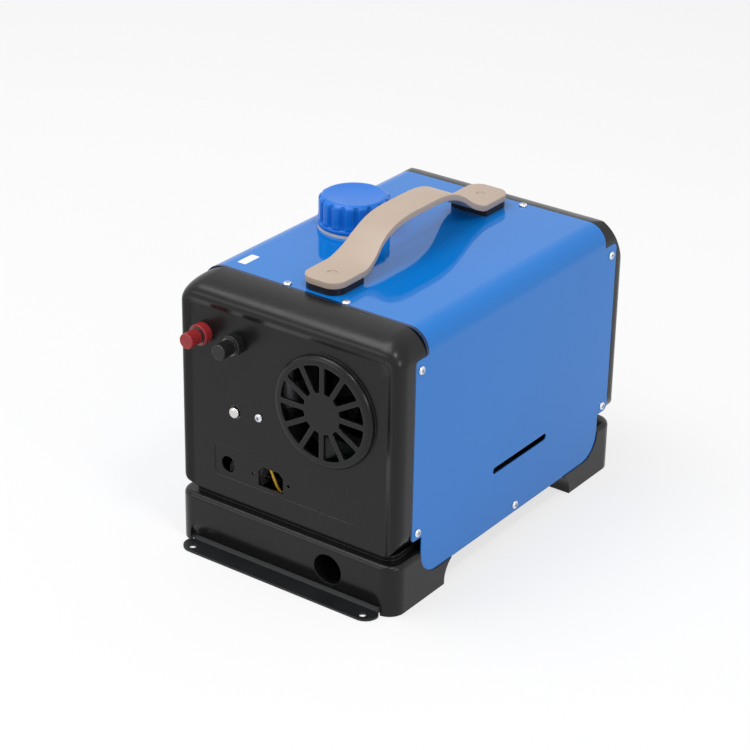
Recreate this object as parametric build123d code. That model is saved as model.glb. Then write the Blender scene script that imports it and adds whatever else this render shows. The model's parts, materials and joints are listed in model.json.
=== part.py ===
from build123d import *
from math import cos, hypot, pi, radians, sin, sqrt, tan
import os

os.makedirs("parts", exist_ok=True)

# All sizes are in millimetres. Seen from the front, X runs to the right, Y runs to the back and Z runs
# up. Pieces are drawn with y = 0 at the front cover's rim and z = 0 on the ground, and save() moves
# them so that the origin lies under the middle of the whole heater.

# ---- casing and covers ----
casing_width = 243.2
casing_top = 263.4
body_length = 365.0
sheet = 1.0
bend_radius = 20.0
fit_gap = 0.3
wall = 3.0
cover_depth = 54.0
cover_bottom = 54.8
cover_corner = 24.0
rim_corner = 27.0
rear_rim_corner = 33.0
front_roll = {"depth": 38.0, "drop": 14.5, "side": 13.0}
rear_roll = {"depth": 36.0, "drop": 28.0, "side": 11.0}
side_roll_width = 7.5
bottom_roll = 6.0
face_recess = 2.6
pocket_half_width = 113.0
pocket_top = 246.5
pocket_slope = 5.5
pocket_corner = 22.0
lap_gap = 0.5

# ---- outline of the folded sheet, seen from the side ----
sheet_overlap = 5.0
sheet_top_edge = 38.5
sheet_top_rear_edge = 41.0
sheet_ear_edge = 21.0
sheet_ear_top = 241.5
sheet_ear_bottom = 65.7
sheet_skirt_edge = 37.5
sheet_skirt_bottom = 23.0
ear_radius = 6.0
skirt_radius = 24.0
slot_length = 89.0
slot_height = 6.4
slot_z = 81.8
slot_offset = 9.4

# ---- fan guard and panel features ----
fan_x = 42.0
fan_z = 178.1
guard_radius = 53.3
guard_height = 6.2
guard_edge = 5.0
guard_opening_corner = 1.6
guard_opening_outer = 45.0
guard_opening_inner = 19.4
guard_spokes = 12
spoke_width = 4.9
inlet_x = -19.5
inlet_z = 89.5
inlet_width = 28.0
inlet_height = 20.0
inlet_chamfer = 5.0
inlet_screw_spacing = 40.0
inlet_screw_hole = 1.7
cable_hole_x = -68.1
cable_hole_radius = 8.0
panel_recess_left = -83.5
panel_recess_right = 76.7
panel_recess_height = 31.5
panel_recess_lift = 2.3
panel_recess_depth = 0.8
plug_x = -59.3
plug_z = 145.2
plug_hole_radius = 6.6
panel_screw_x = -31.8
panel_screw_z = 148.4

# ---- base ----
base_side_reveal = 0.9
base_overhang = 4.0
base_rear_inset = 1.0
base_corner = 16.0
shoulder_z = 50.0
shoulder_radius = 5.0
neck_inset = 10.0
deck_thickness = 3.4
arch_margin = 78.5
arch_height = 26.5
arch_radius = 23.5
cove_depth = 7.0
cove_height = 24.0
cove_half_width = 108.0
cove_corner = 16.0
pipe_hole_x = 50.0
pipe_hole_z = 25.5
pipe_hole_radius = 15.0
rib_height = 14.0
rib_thickness = 2.4
rib_count = 2

# ---- mounting strips ----
strip_half_width = 109.0
strip_thickness = 2.0
strip_reach = 22.0
strip_joggle = 3.0
strip_grip = 24.0
strip_hole_x = 97.0
strip_hole_reach = 14.5
strip_hole_radius = 3.3
strip_ear_radius = 13.0
strip_screw_x = (-80.0, 0.0, 80.0)

# ---- screws ----
screw_shank = 1.9
screw_head_radius = 4.0
screw_head_height = 2.3
screw_length = 9.0
shank_gap = 0.05
sheet_hole_gap = 0.4
boss_radius = 4.6
side_screw_depth = 30.8
side_screw_z = (72.7, 231.0)
skirt_screw_offset = 4.0
skirt_screw_z = 30.5
top_screw_x = 32.0
top_screw_inset = 5.5

# ---- handle ----
handle_half_length = 137.5
handle_centre_offset = 2.5
handle_flat = 41.0
handle_flat_z = 276.0
handle_crown_z = 305.0
handle_rise = ((0.17, 0.19), (0.36, 0.63), (0.62, 0.945))
handle_thickness = 6.0
handle_width = 33.0
handle_end_width = 42.0
handle_end_radius = 14.0
handle_screw_inset = 21.5
handle_screw_radius = 2.5
handle_screw_head = 4.4
handle_sink = 2.2
handle_nut_across = 4.6
handle_nut_thickness = 3.0
handle_plate_radius = 9.0
handle_plate_thickness = 1.0
pad_margin = 1.0

# ---- tank and filler ----
tank_width = 84.0
tank_side_gap = 3.0
tank_end_gap = 5.0
tank_top_gap = 10.0
tank_wall = 3.0
tank_corner = 14.0
filler_x = -64.5
filler_offset = 0.7
neck_radius = 27.5
neck_wall = 2.6
neck_ring_radius = 34.0
neck_ring_height = 3.0
cap_radius = 33.3
cap_skirt_radius = 34.4
cap_skirt_height = 4.0
cap_height = 28.0
cap_top_thickness = 3.2
cap_seal_thickness = 2.0
cap_grips = 16
cap_grip_depth = 1.9
cap_grip_share = 0.5
cap_edge = 2.2
running_gap = 0.3

# ---- binding posts ----
red_post_x = -94.0
black_post_x = -57.3
post_z = 214.0
post_reach = 22.0
post_collar_radius = 10.0
post_collar_length = 8.6
post_washer_radius = 8.4
post_washer_thickness = 1.5
post_knob_radius = 7.8
post_stud_radius = 3.0
post_spigot_radius = 6.0
post_flutes = 16
post_flute_radius = 0.8
post_nut_across = 10.0
post_nut_thickness = 5.0

# ---- heater unit ----
unit_front = 50.0
unit_end_gap = 22.0
unit_half_width = 60.0
unit_top = 246.0
unit_bottom = 108.0
unit_corner = 34.0
unit_wall = 2.5
intake_radius = 46.0
intake_gap = 6.0
duct_radius = 37.5
duct_wall = 2.5
duct_reach = 30.0
fan_radius = 41.0
fan_width = 18.0
fan_blades = 9
fan_hub_radius = 15.0
fan_hub_edge = 4.0
blade_thickness = 1.8
blade_pitch_in = 50
blade_pitch_out = 24
fan_motor_gap = 5.0
shaft_radius = 2.5
motor_radius = 25.0
motor_length = 38.0
motor_edge = 2.5
motor_housing_gap = 1.0
mount_offset = 8.0
mount_thickness = 3.0
mount_sleeve_length = 12.0
mount_window_radius = 50.0
mount_window_gap = 5.0
housing_radius = 46.0
housing_length = 44.0
blower_radius = 30.0
blower_width = 10.0
blower_vanes = 12
blower_gap = 3.0
blower_offset = 8.0
air_stub_inset = 17.0
exhaust_stub_inset = 20.0
fuel_inlet_inset = 8.0
fuel_inlet_rise = 14.0
glow_plug_radius = 4.0
glow_plug_inset = 7.0
gasket_thickness = 1.5
burner_flange = 3.0
burner_radius = 24.0
burner_length = 96.0
core_radius = 31.0
core_bore = 27.0
core_end_gap = 18.5
fin_radius = 46.0
fin_thickness = 2.0
fin_count = 24
stub_radius = 12.0
stub_shoulder = 0.7
stub_length = 22.0
stub_bore = 10.4
stub_end_z = 22.5
stub_hole_gap = 2.0
foot_half_width = 22.0
foot_length = 72.0
foot_inset = 4.0
bracket_thickness = 2.0
bracket_half_width = 52.0
bracket_flange = 14.0
floor_gasket = 3.0

# ---- fuel parts, board and wires ----
pump_x = -22.0
pump_y = 32.0
pump_bottom = 106.0
pump_length = 84.0
pump_radius = 14.0
pump_bore = 7.0
plunger_length = 26.0
plunger_stroke = 3.0
spring_wire = 0.8
spring_turns = 5
spring_room = 14.0
pump_cap_length = 8.0
chamber_inset = 18.0
clamp_half_height = 8.0
clamp_wall = 3.0
clamp_lug_half_width = 6.0
nipple_radius = 1.5
nipple_length = 10.0
hose_radius = 2.75
hose_bore = 1.6
hose_grip = 8.0
filter_radius = 10.0
filter_length = 36.0
filter_z = 72.0
filter_left = -84.0
board_left = 5.0
board_width = 88.0
board_height = 62.0
board_lift = 7.0
board_y = 44.0
board_thickness = 1.6
board_hole_inset = 5.0
spacer_radius = 3.0
spacer_length = 2.0
board_plate = 1.2
board_flange = 14.0
lug_thickness = 1.6
lead_radius = 1.3

# ---- places worked out from the sizes above ----
sheet_length = body_length + sheet_overlap
base_width = casing_width + 2 * base_side_reveal
base_length = body_length + base_overhang - base_rear_inset
mid_y = sheet_length / 2
base_mid = base_length / 2 - base_overhang
half_width = casing_width / 2
face_y = face_recess
panel_back = face_y + wall
origin_y = (body_length + duct_reach - post_reach) / 2
deck_top = cover_bottom - fit_gap
filler_y = mid_y + filler_offset
handle_mid = mid_y - handle_centre_offset
unit_rear = body_length - unit_end_gap
lap = sheet + fit_gap
base_step = base_width / 2 - half_width + lap
arch_length = base_length - 2 * arch_margin


# ---- small helpers ----
def block(x0, x1, y0, y1, z0, z1):
    centre = Pos((x0 + x1) / 2, (y0 + y1) / 2, (z0 + z1) / 2)
    return centre * Box(x1 - x0, y1 - y0, z1 - z0)


def rod_x(y, z, x0, x1, radius):
    return Pos((x0 + x1) / 2, y, z) * Rot(0, 90, 0) * Cylinder(radius, abs(x1 - x0))


def rod_y(x, z, y0, y1, radius):
    return Pos(x, (y0 + y1) / 2, z) * Rot(90, 0, 0) * Cylinder(radius, abs(y1 - y0))


def rod_z(x, y, z0, z1, radius):
    return Pos(x, y, (z0 + z1) / 2) * Cylinder(radius, abs(z1 - z0))


def along_x(profile, x0, x1):
    """Extrudes a profile drawn with (y, z) as its coordinates from x0 to x1."""
    plane = Plane(origin=(x0, 0, 0), x_dir=(0, 1, 0), z_dir=(1, 0, 0))
    return extrude(plane * profile, x1 - x0)


def along_y(profile, y0, y1):
    """Extrudes a profile drawn with (x, z) as its coordinates from y0 to y1."""
    return extrude(upright(y1) * profile, y1 - y0)


def upright(y):
    """The plane at depth y with X to the right and Z up, as its own x and y."""
    return Plane(origin=(0, y, 0), x_dir=(1, 0, 0), z_dir=(0, -1, 0))


def along_z(profile, z0, z1):
    return extrude(Pos(0, 0, z0) * profile, z1 - z0)


def rectangle(u0, u1, v0, v1):
    return Pos((u0 + u1) / 2, (v0 + v1) / 2) * Rectangle(u1 - u0, v1 - v0)


def to_rear(shape, middle):
    return Pos(0, 2 * middle, 0) * mirror(shape, about=Plane.XZ)


def turned_about_y(shape, x, z, angle):
    return Pos(x, 0, z) * Rot(0, angle, 0) * Pos(-x, 0, -z) * shape


def save(name, shape):
    moved = Pos(0, -origin_y, 0) * shape
    export_step(Compound(children=moved.solids()), f"parts/{name}.step")


# ---- outlines shared by the casing and both covers ----
def body_outline(inset, bottom, bottom_radius):
    """The body's outline seen from the front, drawn inwards by inset."""
    outline = rectangle(-half_width + inset, half_width - inset, bottom, casing_top - inset)
    corners = outline.vertices().group_by(Axis.Y)
    outline = fillet(corners[-1], bend_radius - inset)
    if bottom_radius > 0:
        outline = fillet(outline.vertices().group_by(Axis.Y)[0], bottom_radius)
    return outline


def half_sheet_outline(grow, top_edge):
    """The folded sheet's front cut edge seen from the side, drawn outwards by grow."""
    skirt = sheet_skirt_edge - grow
    ear = sheet_ear_edge - grow
    top = top_edge - grow
    ear_top = sheet_ear_top + grow
    ear_bottom = sheet_ear_bottom - grow
    low = sheet_skirt_bottom
    high = casing_top + wall
    outline = make_face(Polyline(
        (mid_y, low), (skirt, low), (skirt, ear_bottom), (ear, ear_bottom),
        (ear, ear_top), (top, ear_top), (top, high), (mid_y, high), (mid_y, low),
    ))
    foot = [v for v in outline.vertices() if abs(v.X - skirt) < 0.01 and abs(v.Y - low) < 0.01]
    outline = fillet(foot, skirt_radius)
    ear_corners = [v for v in outline.vertices() if abs(v.X - ear) < 0.01]
    return fillet(ear_corners, ear_radius + grow)


def sheet_side_outline(grow):
    rear = half_sheet_outline(grow, sheet_top_rear_edge)
    rear = mirror(rear, about=Plane.YZ.offset(mid_y))
    return half_sheet_outline(grow, sheet_top_edge) + rear


def roll_side_profile(inset, roll):
    """The cover seen from the side: a deep roll over the top edge and a small one below."""
    front = cavity_front(inset)
    top = casing_top - inset
    bottom = cover_bottom + inset
    ridge = casing_top - roll["drop"] - inset / 2
    small = max(bottom_roll - inset, 1)
    edges = [
        Line((cover_depth, top), (roll["depth"], top)),
        EllipticalCenterArc((roll["depth"], ridge), roll["depth"] - front, top - ridge, 90, arc_size=90),
        Line((front, ridge), (front, bottom + small)),
        EllipticalCenterArc((front + small, bottom + small), small, small, 180, arc_size=90),
        Line((front + small, bottom), (cover_depth, bottom)),
        Line((cover_depth, bottom), (cover_depth, top)),
    ]
    return make_face(edges)


def roll_plan_profile(inset, roll):
    """The cover seen from above: a slim roll down each side."""
    front = cavity_front(inset)
    side = half_width - inset
    ridge = half_width - side_roll_width - inset / 2
    edges = [
        Line((0, front), (ridge, front)),
        EllipticalCenterArc((ridge, roll["side"]), side - ridge, roll["side"] - front, -90, arc_size=90),
        Line((side, roll["side"]), (side, cover_depth)),
        Line((side, cover_depth), (0, cover_depth)),
        Line((0, cover_depth), (0, front)),
    ]
    half = make_face(edges)
    return half + mirror(half, about=Plane.YZ)


def cavity_front(inset):
    """The outer form starts at the rim; anything drawn inwards starts behind the recessed face."""
    return inset + face_recess if inset > 0 else 0


def rim_outline(half, top, corner):
    """A tall outline with its two upper corners rounded, reaching below the cover."""
    outline = rectangle(-half, half, cover_bottom - casing_top, top)
    return fillet(outline.vertices().group_by(Axis.Y)[-1], corner)


def corner_form(inset, roll, corner):
    """A form that widens by 45 degrees from the rim and only cuts the two upper corners round."""
    front = cavity_front(inset)
    side_arm = hypot(side_roll_width, roll["side"]) - roll["side"]
    top_arm = hypot(roll["drop"], roll["depth"]) - roll["depth"]
    half = half_width - side_roll_width - inset / 2 + side_arm
    top = casing_top - roll["drop"] - inset / 2 + top_arm
    narrow = upright(front) * rim_outline(half, top, corner)
    depth = cover_depth - front
    wide = upright(cover_depth) * rim_outline(half + depth, top + depth, corner + depth)
    return loft([narrow, wide], ruled=True)


def cover_block(inset, roll, corner):
    """The cover's outer form: a deep roll over the top, slim rolls down the sides, round corners."""
    outline = body_outline(inset, cover_bottom + inset, cover_corner - inset)
    form = along_y(outline, 0, cover_depth)
    form = form & along_x(roll_side_profile(inset, roll), -half_width, half_width)
    form = form & along_z(roll_plan_profile(inset, roll), 0, casing_top)
    return form & corner_form(inset, roll, corner)


def face_pocket():
    """The face lies behind the rim, which slopes down to it at the top and on both sides."""
    mouth = rim_outline(pocket_half_width, pocket_top, pocket_corner)
    floor = rim_outline(
        pocket_half_width - pocket_slope, pocket_top - pocket_slope, pocket_corner - pocket_slope
    )
    return loft([upright(0) * mouth, upright(face_y) * floor], ruled=True)


def ear_screw_places(end):
    """Where the sheet's ears are screwed on: y, z and side, for the front or the rear end."""
    y = side_screw_depth if end == "front" else sheet_length - side_screw_depth
    return [(y, z, side) for z in side_screw_z for side in (-1, 1)]


def top_screw_places(end):
    """Where the sheet's top edge is screwed on: x and y, for the front or the rear end."""
    y = sheet_top_edge + top_screw_inset
    if end == "rear":
        y = sheet_length - sheet_top_rear_edge - top_screw_inset
    return [(x, y) for x in (-top_screw_x, top_screw_x)]


def cover_bosses(end):
    reach = lap + screw_length
    bosses = []
    for y, z, side in ear_screw_places(end):
        outer = side * (half_width - lap)
        bosses.append(rod_x(y, z, outer - side * reach, outer, boss_radius))
    for x, y in top_screw_places(end):
        bosses.append(rod_z(x, y, casing_top - lap - reach, casing_top - lap, boss_radius))
    return bosses


def cover_pilot_holes(end):
    pilot = screw_shank + shank_gap
    reach = screw_length + 1
    holes = []
    for y, z, side in ear_screw_places(end):
        holes.append(rod_x(y, z, side * (half_width - reach), side * half_width, pilot))
    for x, y in top_screw_places(end):
        holes.append(rod_z(x, y, casing_top - reach, casing_top, pilot))
    return holes


def plain_cover(end):
    """The tray that both covers share, with the lap that the folded sheet lies in."""
    roll = front_roll if end == "front" else rear_roll
    corner = rim_corner if end == "front" else rear_rim_corner
    tray = cover_block(0, roll, corner) - cover_block(wall, roll, corner) - face_pocket()
    if end == "rear":
        tray = to_rear(tray, body_length / 2)
    step = along_x(sheet_side_outline(lap_gap), -half_width - 1, half_width + 1)
    core = along_y(body_outline(lap, 0, 0), -1, body_length + 1)
    tray -= step - core
    inner = along_y(body_outline(lap, cover_bottom, 0), 0, body_length)
    tray += [boss & inner for boss in cover_bosses(end)]
    return tray - cover_pilot_holes(end)


# ---- front cover ----
def guard_disc():
    front = face_y - guard_height
    disc = rod_y(fan_x, fan_z, front, face_y + 1, guard_radius)
    edge = disc.edges().filter_by(GeomType.CIRCLE).group_by(Axis.Y)[0]
    return fillet(edge, guard_edge)


def guard_openings():
    ring = Circle(guard_opening_outer) - Circle(guard_opening_inner)
    for index in range(guard_spokes // 2):
        angle = index * 360 / guard_spokes
        ring -= Rot(0, 0, angle) * Rectangle(3 * guard_opening_outer, spoke_width)
    ring = fillet(ring.vertices(), guard_opening_corner)
    front = face_y - guard_height
    return along_y(Pos(fan_x, fan_z) * ring, front - 1, face_y + wall + 1)


def inlet_cutout():
    outline = rectangle(
        inlet_x - inlet_width / 2, inlet_x + inlet_width / 2,
        inlet_z - inlet_height / 2, inlet_z + inlet_height / 2,
    )
    outline = chamfer(outline.vertices().group_by(Axis.Y)[-1], inlet_chamfer)
    return along_y(outline, 0, panel_back + 1)


def panel_recess():
    centre_x = (panel_recess_left + panel_recess_right) / 2
    width = panel_recess_right - panel_recess_left
    outline = RectangleRounded(width, panel_recess_height, inlet_chamfer + 1)
    centre = Pos(centre_x, inlet_z + panel_recess_lift)
    return along_y(centre * outline, 0, face_y + panel_recess_depth)


def front_cover():
    front = face_y - guard_height
    cover = plain_cover("front") + guard_disc()
    cover -= rod_y(fan_x, fan_z, front + wall, panel_back + 1, guard_radius - wall)
    cover -= guard_openings()
    cover -= panel_recess()
    cover -= inlet_cutout()
    for side in (-1, 1):
        x = inlet_x + side * inlet_screw_spacing / 2
        cover -= rod_y(x, inlet_z, 0, panel_back + 1, inlet_screw_hole)
    cover -= rod_y(cable_hole_x, inlet_z, 0, panel_back + 1, cable_hole_radius)
    cover -= rod_y(plug_x, plug_z, 0, panel_back + 1, plug_hole_radius)
    cover -= rod_y(panel_screw_x, panel_screw_z, 0, panel_back + 1, screw_shank + shank_gap)
    for x in (red_post_x, black_post_x):
        cover -= rod_y(x, post_z, 0, panel_back + 1, post_spigot_radius + fit_gap)
    return cover


# ---- rear cover with the hot-air collar ----
def duct_tube():
    inner_end = unit_rear + fit_gap
    outer_end = body_length + duct_reach
    tube = rod_y(fan_x, fan_z, inner_end, outer_end, duct_radius)
    return chamfer(tube.edges().filter_by(GeomType.CIRCLE).group_by(Axis.Y)[-1], 0.6)


def rear_cover():
    cover = plain_cover("rear") + duct_tube()
    inner_end = unit_rear + fit_gap
    bore = rod_y(fan_x, fan_z, inner_end - 1, body_length + duct_reach + 1, duct_radius - duct_wall)
    return cover - bore


def outlet_grille():
    """A ring with upright bars that sits in the collar's bore."""
    outer = duct_radius - duct_wall - fit_gap
    ring = Circle(outer) - Circle(outer - 2.5)
    bars = [Pos(x) * Rectangle(1.6, 2 * sqrt((outer - 1) ** 2 - x**2)) for x in range(-28, 29, 8)]
    cross = Rectangle(2 * outer - 2, 2.4)
    face = ring + bars + cross
    middle = body_length - face_recess
    return along_y(Pos(fan_x, fan_z) * face, middle - 5, middle + 5)


# ---- folded sheet casing ----
def casing_side_screws():
    """Both covers' ears and the middle of each skirt: y, z and side."""
    skirt = [(mid_y + skirt_screw_offset, skirt_screw_z, side) for side in (-1, 1)]
    return ear_screw_places("front") + ear_screw_places("rear") + skirt


def casing_top_screws():
    return top_screw_places("front") + top_screw_places("rear")


def handle_screw_places():
    reach = handle_half_length - handle_screw_inset
    return [handle_mid - reach, handle_mid + reach]


def casing_shell():
    outer = along_y(body_outline(0, sheet_skirt_bottom, 0), 0, sheet_length)
    inner = along_y(body_outline(sheet, 0, 0), -1, sheet_length + 1)
    shell = (outer - inner) & along_x(sheet_side_outline(0), -half_width - 1, half_width + 1)
    hole = screw_shank + sheet_hole_gap
    for y, z, side in casing_side_screws():
        shell -= rod_x(y, z, side * (half_width - 3), side * (half_width + 1), hole)
    for x, y in casing_top_screws():
        shell -= rod_z(x, y, casing_top - 3, casing_top + 1, hole)
    slot = Pos(mid_y + slot_offset, slot_z) * SlotOverall(slot_length, slot_height)
    shell -= along_x(slot, -half_width - 1, half_width + 1)
    shell -= rod_z(filler_x, filler_y, casing_top - 3, casing_top + 1, neck_radius + 1.5)
    for y in handle_screw_places():
        shell -= rod_z(0, y, casing_top - 3, casing_top + 1, handle_screw_radius + sheet_hole_gap)
    return shell


def pan_screw(length):
    """A pan-head screw along +Z with the underside of its head at z = 0."""
    head = Cylinder(screw_head_radius, screw_head_height, align=(Align.CENTER, Align.CENTER, Align.MIN))
    rim = head.edges().filter_by(GeomType.CIRCLE).group_by(Axis.Z)[-1]
    head = chamfer(rim, screw_head_height * 0.45, screw_head_height * 0.6)
    shank = Cylinder(screw_shank, length, align=(Align.CENTER, Align.CENTER, Align.MAX))
    return head + shank


def casing_screws():
    screw = pan_screw(screw_length)
    places = [Pos(side * half_width, y, z) * Rot(0, side * 90, 0) for y, z, side in casing_side_screws()]
    places += [Pos(x, y, casing_top) for x, y in casing_top_screws()]
    return Compound(children=[(place * screw).solid() for place in places])


# ---- base ----
def base_plan(inset, corner_inset):
    """The base's plan outline drawn inwards by inset, on its own middle."""
    outline = RectangleRounded(
        base_width - 2 * inset, base_length - 2 * inset, base_corner - corner_inset
    )
    return Pos(0, base_mid) * outline


def arch_ends():
    return base_mid - arch_length / 2, base_mid + arch_length / 2


def arch_profile(grow):
    """The tunnel through the base seen from the side, drawn outwards by grow."""
    front, back = arch_ends()
    arch = rectangle(front - grow, back + grow, -1, arch_height + grow)
    return fillet(arch.vertices().group_by(Axis.Y)[-1], arch_radius + grow)


def base_arches():
    return along_x(arch_profile(0), -base_width, base_width)


def foot_walls():
    """The curved wall that closes each foot towards the arch, and then runs up to the deck."""
    inner = half_width - lap - 1
    roof = shoulder_z - deck_thickness + 0.5
    front, back = arch_ends()
    skin = along_x(arch_profile(wall) - arch_profile(0), -inner, inner)
    walls = []
    for low, high in ((front - wall, front + arch_radius), (back - arch_radius, back + wall)):
        walls.append(skin & block(-inner, inner, low, high, 0, roof))
    for y in (front + arch_radius - wall, back - arch_radius):
        walls.append(block(-inner, inner, y, y + wall, arch_height, roof))
    return walls


def cove():
    """A soft hollow along the foot of the front wall, with rounded upper ends."""
    front = -base_overhang
    bend = (cove_height**2 + cove_depth**2) / (2 * cove_depth)
    middle_z = cove_height / 2
    middle_y = front + bend - sqrt(bend**2 - (cove_height - middle_z) ** 2)
    edges = [
        Line((front - 1, -1), (front - 1, cove_height)),
        Line((front - 1, cove_height), (front, cove_height)),
        ThreePointArc((front, cove_height), (middle_y, middle_z), (front + cove_depth, 0)),
        Line((front + cove_depth, 0), (front + cove_depth, -1)),
        Line((front + cove_depth, -1), (front - 1, -1)),
    ]
    hollow = along_x(make_face(edges), -cove_half_width, cove_half_width)
    ends = rectangle(-cove_half_width, cove_half_width, -2, cove_height)
    ends = fillet(ends.vertices().group_by(Axis.Y)[-1], cove_corner)
    return hollow & along_y(ends, front - 2, front + cove_depth + 1)


def cove_back():
    """The skin behind the cove, so that the front wall stays closed there."""
    front = -base_overhang
    half = cove_half_width + wall
    return block(-half, half, front + 1, front + cove_depth + wall, 0, cove_height + 6)


def strip_level():
    """How high the strip's raised edge reaches under the base."""
    return strip_joggle + strip_thickness + fit_gap


def strip_pocket():
    """Room under the front wall for the strip's raised edge."""
    half = strip_half_width - 3
    return block(-half, half, -base_overhang - 1, strip_grip + 1, -1, strip_level())


def strip_bosses():
    y = strip_grip - 8
    low, high = strip_level(), shoulder_z - deck_thickness + 0.5
    bosses = [rod_z(x, y, low, high, boss_radius) for x in strip_screw_x]
    fins = [block(x - 1.2, x + 1.2, wall, y, low, high) for x in strip_screw_x]
    return bosses + fins


def strip_pilot_holes():
    y = strip_grip - 8
    return [rod_z(x, y, 0, screw_length + 6, screw_shank + shank_gap) for x in strip_screw_x]


def stub_places():
    """The combustion air stub and the exhaust stub, as y on the unit's axis."""
    return flange_start() - air_stub_inset, foot_start() + foot_length - exhaust_stub_inset


def skirt_recess():
    """The sheet's skirts lie in shallow steps on both sides of the base."""
    outline = sheet_side_outline(lap_gap)
    reach = base_width / 2 + 1
    return [along_x(outline, side * reach, side * (half_width - lap)) for side in (-1, 1)]


def base_walls():
    """Under the deck: both feet's inner walls, the pipe sleeve, ribs and skirt screw bosses."""
    roof = shoulder_z - deck_thickness + 0.5
    inner = half_width - lap - 1
    walls = foot_walls()
    sleeve_end = arch_ends()[0] + arch_radius
    sleeve = rod_y(pipe_hole_x, pipe_hole_z, -base_overhang + 1, sleeve_end, pipe_hole_radius + wall)
    walls.append(sleeve & block(-inner, inner, -base_overhang, sleeve_end, 0, roof))
    span = arch_length - 2 * arch_radius
    for index in range(rib_count):
        y = base_mid - span / 2 + span * (index + 1) / (rib_count + 1)
        half = rib_thickness / 2
        rib = block(-inner, inner, y - half, y + half, shoulder_z - rib_height, roof)
        collar = rod_z(fan_x, y, 0, roof + 1, stub_radius + stub_hole_gap + wall)
        walls.append(rib - collar)
    skirt_y = mid_y + skirt_screw_offset
    for side in (-1, 1):
        walls.append(rod_x(skirt_y, skirt_screw_z, side * (inner - screw_length), side * inner, boss_radius))
    return walls


def base_tray():
    tray = fillet(along_z(base_plan(0, 0), 0, shoulder_z).edges().group_by(Axis.Z)[-1], shoulder_radius)
    tray += along_z(base_plan(neck_inset, neck_inset / 2), shoulder_z - 1, deck_top)
    hollow = wall + base_step
    tray -= along_z(base_plan(hollow, hollow), -1, shoulder_z - deck_thickness)
    upper = neck_inset + wall
    tray -= along_z(base_plan(upper, neck_inset / 2 + wall), 0, deck_top - deck_thickness)
    tray += base_walls()
    tray += [cove_back(), to_rear(cove_back(), base_mid)]
    tray -= base_arches()
    tray -= skirt_recess()
    for end in (lambda shape: shape, lambda shape: to_rear(shape, base_mid)):
        tray -= [end(cove()), end(strip_pocket())]
        tray += [end(part) for part in strip_bosses()]
        tray -= [end(hole) for hole in strip_pilot_holes()]
    sleeve_end = arch_ends()[0] + arch_radius
    tray -= rod_y(pipe_hole_x, pipe_hole_z, -base_overhang - 1, sleeve_end + 1, pipe_hole_radius)
    for y in stub_places():
        tray -= rod_z(fan_x, y, arch_height, deck_top + 1, stub_radius + stub_hole_gap)
    pilot = screw_shank + shank_gap
    skirt_y = mid_y + skirt_screw_offset
    for side in (-1, 1):
        inner, outer = side * (half_width - screw_length - 1), side * base_width / 2
        tray -= rod_x(skirt_y, skirt_screw_z, inner, outer, pilot)
    return tray


# ---- mounting strips ----
def mounting_strip():
    """A flat flange with two ears, then a joggle up into the pocket under the front wall."""
    low, high = 0, strip_joggle
    section = make_face(Polyline(
        (-strip_reach, low), (1, low), (1 + strip_joggle, high), (strip_grip, high),
        (strip_grip, high + strip_thickness), (0, high + strip_thickness),
        (-strip_joggle, low + strip_thickness), (-strip_reach, low + strip_thickness),
        (-strip_reach, low),
    ))
    strip = along_x(section, -strip_half_width, strip_half_width)
    inner_half = strip_half_width - 4
    ears = rectangle(-strip_half_width, strip_half_width, -strip_reach, -strip_joggle)
    ears = fillet(ears.vertices().group_by(Axis.Y)[0], strip_ear_radius)
    ears = fillet(ears.vertices().group_by(Axis.Y)[-1], strip_reach - strip_joggle - strip_ear_radius - 0.1)
    plan = ears + rectangle(-inner_half, inner_half, -strip_reach / 2, strip_grip)
    strip = strip & along_z(plan, -1, high + strip_thickness + 1)
    for side in (-1, 1):
        strip -= rod_z(side * strip_hole_x, -strip_hole_reach, -1, high, strip_hole_radius)
    for x in strip_screw_x:
        strip -= rod_z(x, strip_grip - 8, 0, high + strip_thickness + 1, screw_shank + sheet_hole_gap)
    return strip


def strip_screws():
    """Screws that hold each strip up against the bosses, heads down."""
    screw = pan_screw(screw_length)
    y = strip_grip - 8
    places = [(x, y) for x in strip_screw_x] + [(x, 2 * base_mid - y) for x in strip_screw_x]
    screws = [Pos(x, y, strip_joggle) * Rot(180, 0, 0) * screw for x, y in places]
    return Compound(children=[s.solid() for s in screws])


# ---- handle ----
def handle_curve(drop):
    """The strap's upper line seen from the side up to its crown, lowered by drop."""
    end = handle_mid - handle_half_length
    foot = end + handle_flat
    low = handle_flat_z - drop
    reach = handle_mid - foot
    rise = handle_crown_z - handle_flat_z
    on_way = [(foot + reach * along, low + rise * up) for along, up in handle_rise]
    climb = Spline((foot, low), *on_way, (handle_mid, low + rise), tangents=[(1, 0), (1, 0)])
    return [Line((end, low), (foot, low)), climb]


def paddle(margin):
    """Half of the strap's outline seen from above, ending in a rounded paddle."""
    end = handle_mid - handle_half_length + margin
    foot = handle_mid - handle_half_length + handle_flat
    wide = handle_end_width / 2 - margin
    slim = handle_width / 2 - margin
    blend = foot + handle_flat
    half = make_face([
        Line((0, end), (wide, end)),
        Line((wide, end), (wide, foot)),
        Bezier((wide, foot), (wide, foot + 12), (slim, blend - 16), (slim, blend)),
        Line((slim, blend), (slim, handle_mid)),
        Line((slim, handle_mid), (0, handle_mid)),
        Line((0, handle_mid), (0, end)),
    ])
    corner = [v for v in half.vertices() if abs(v.X - wide) < 0.01 and abs(v.Y - end) < 0.01]
    half = fillet(corner, handle_end_radius - margin)
    return half + mirror(half, about=Plane.YZ)


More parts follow.
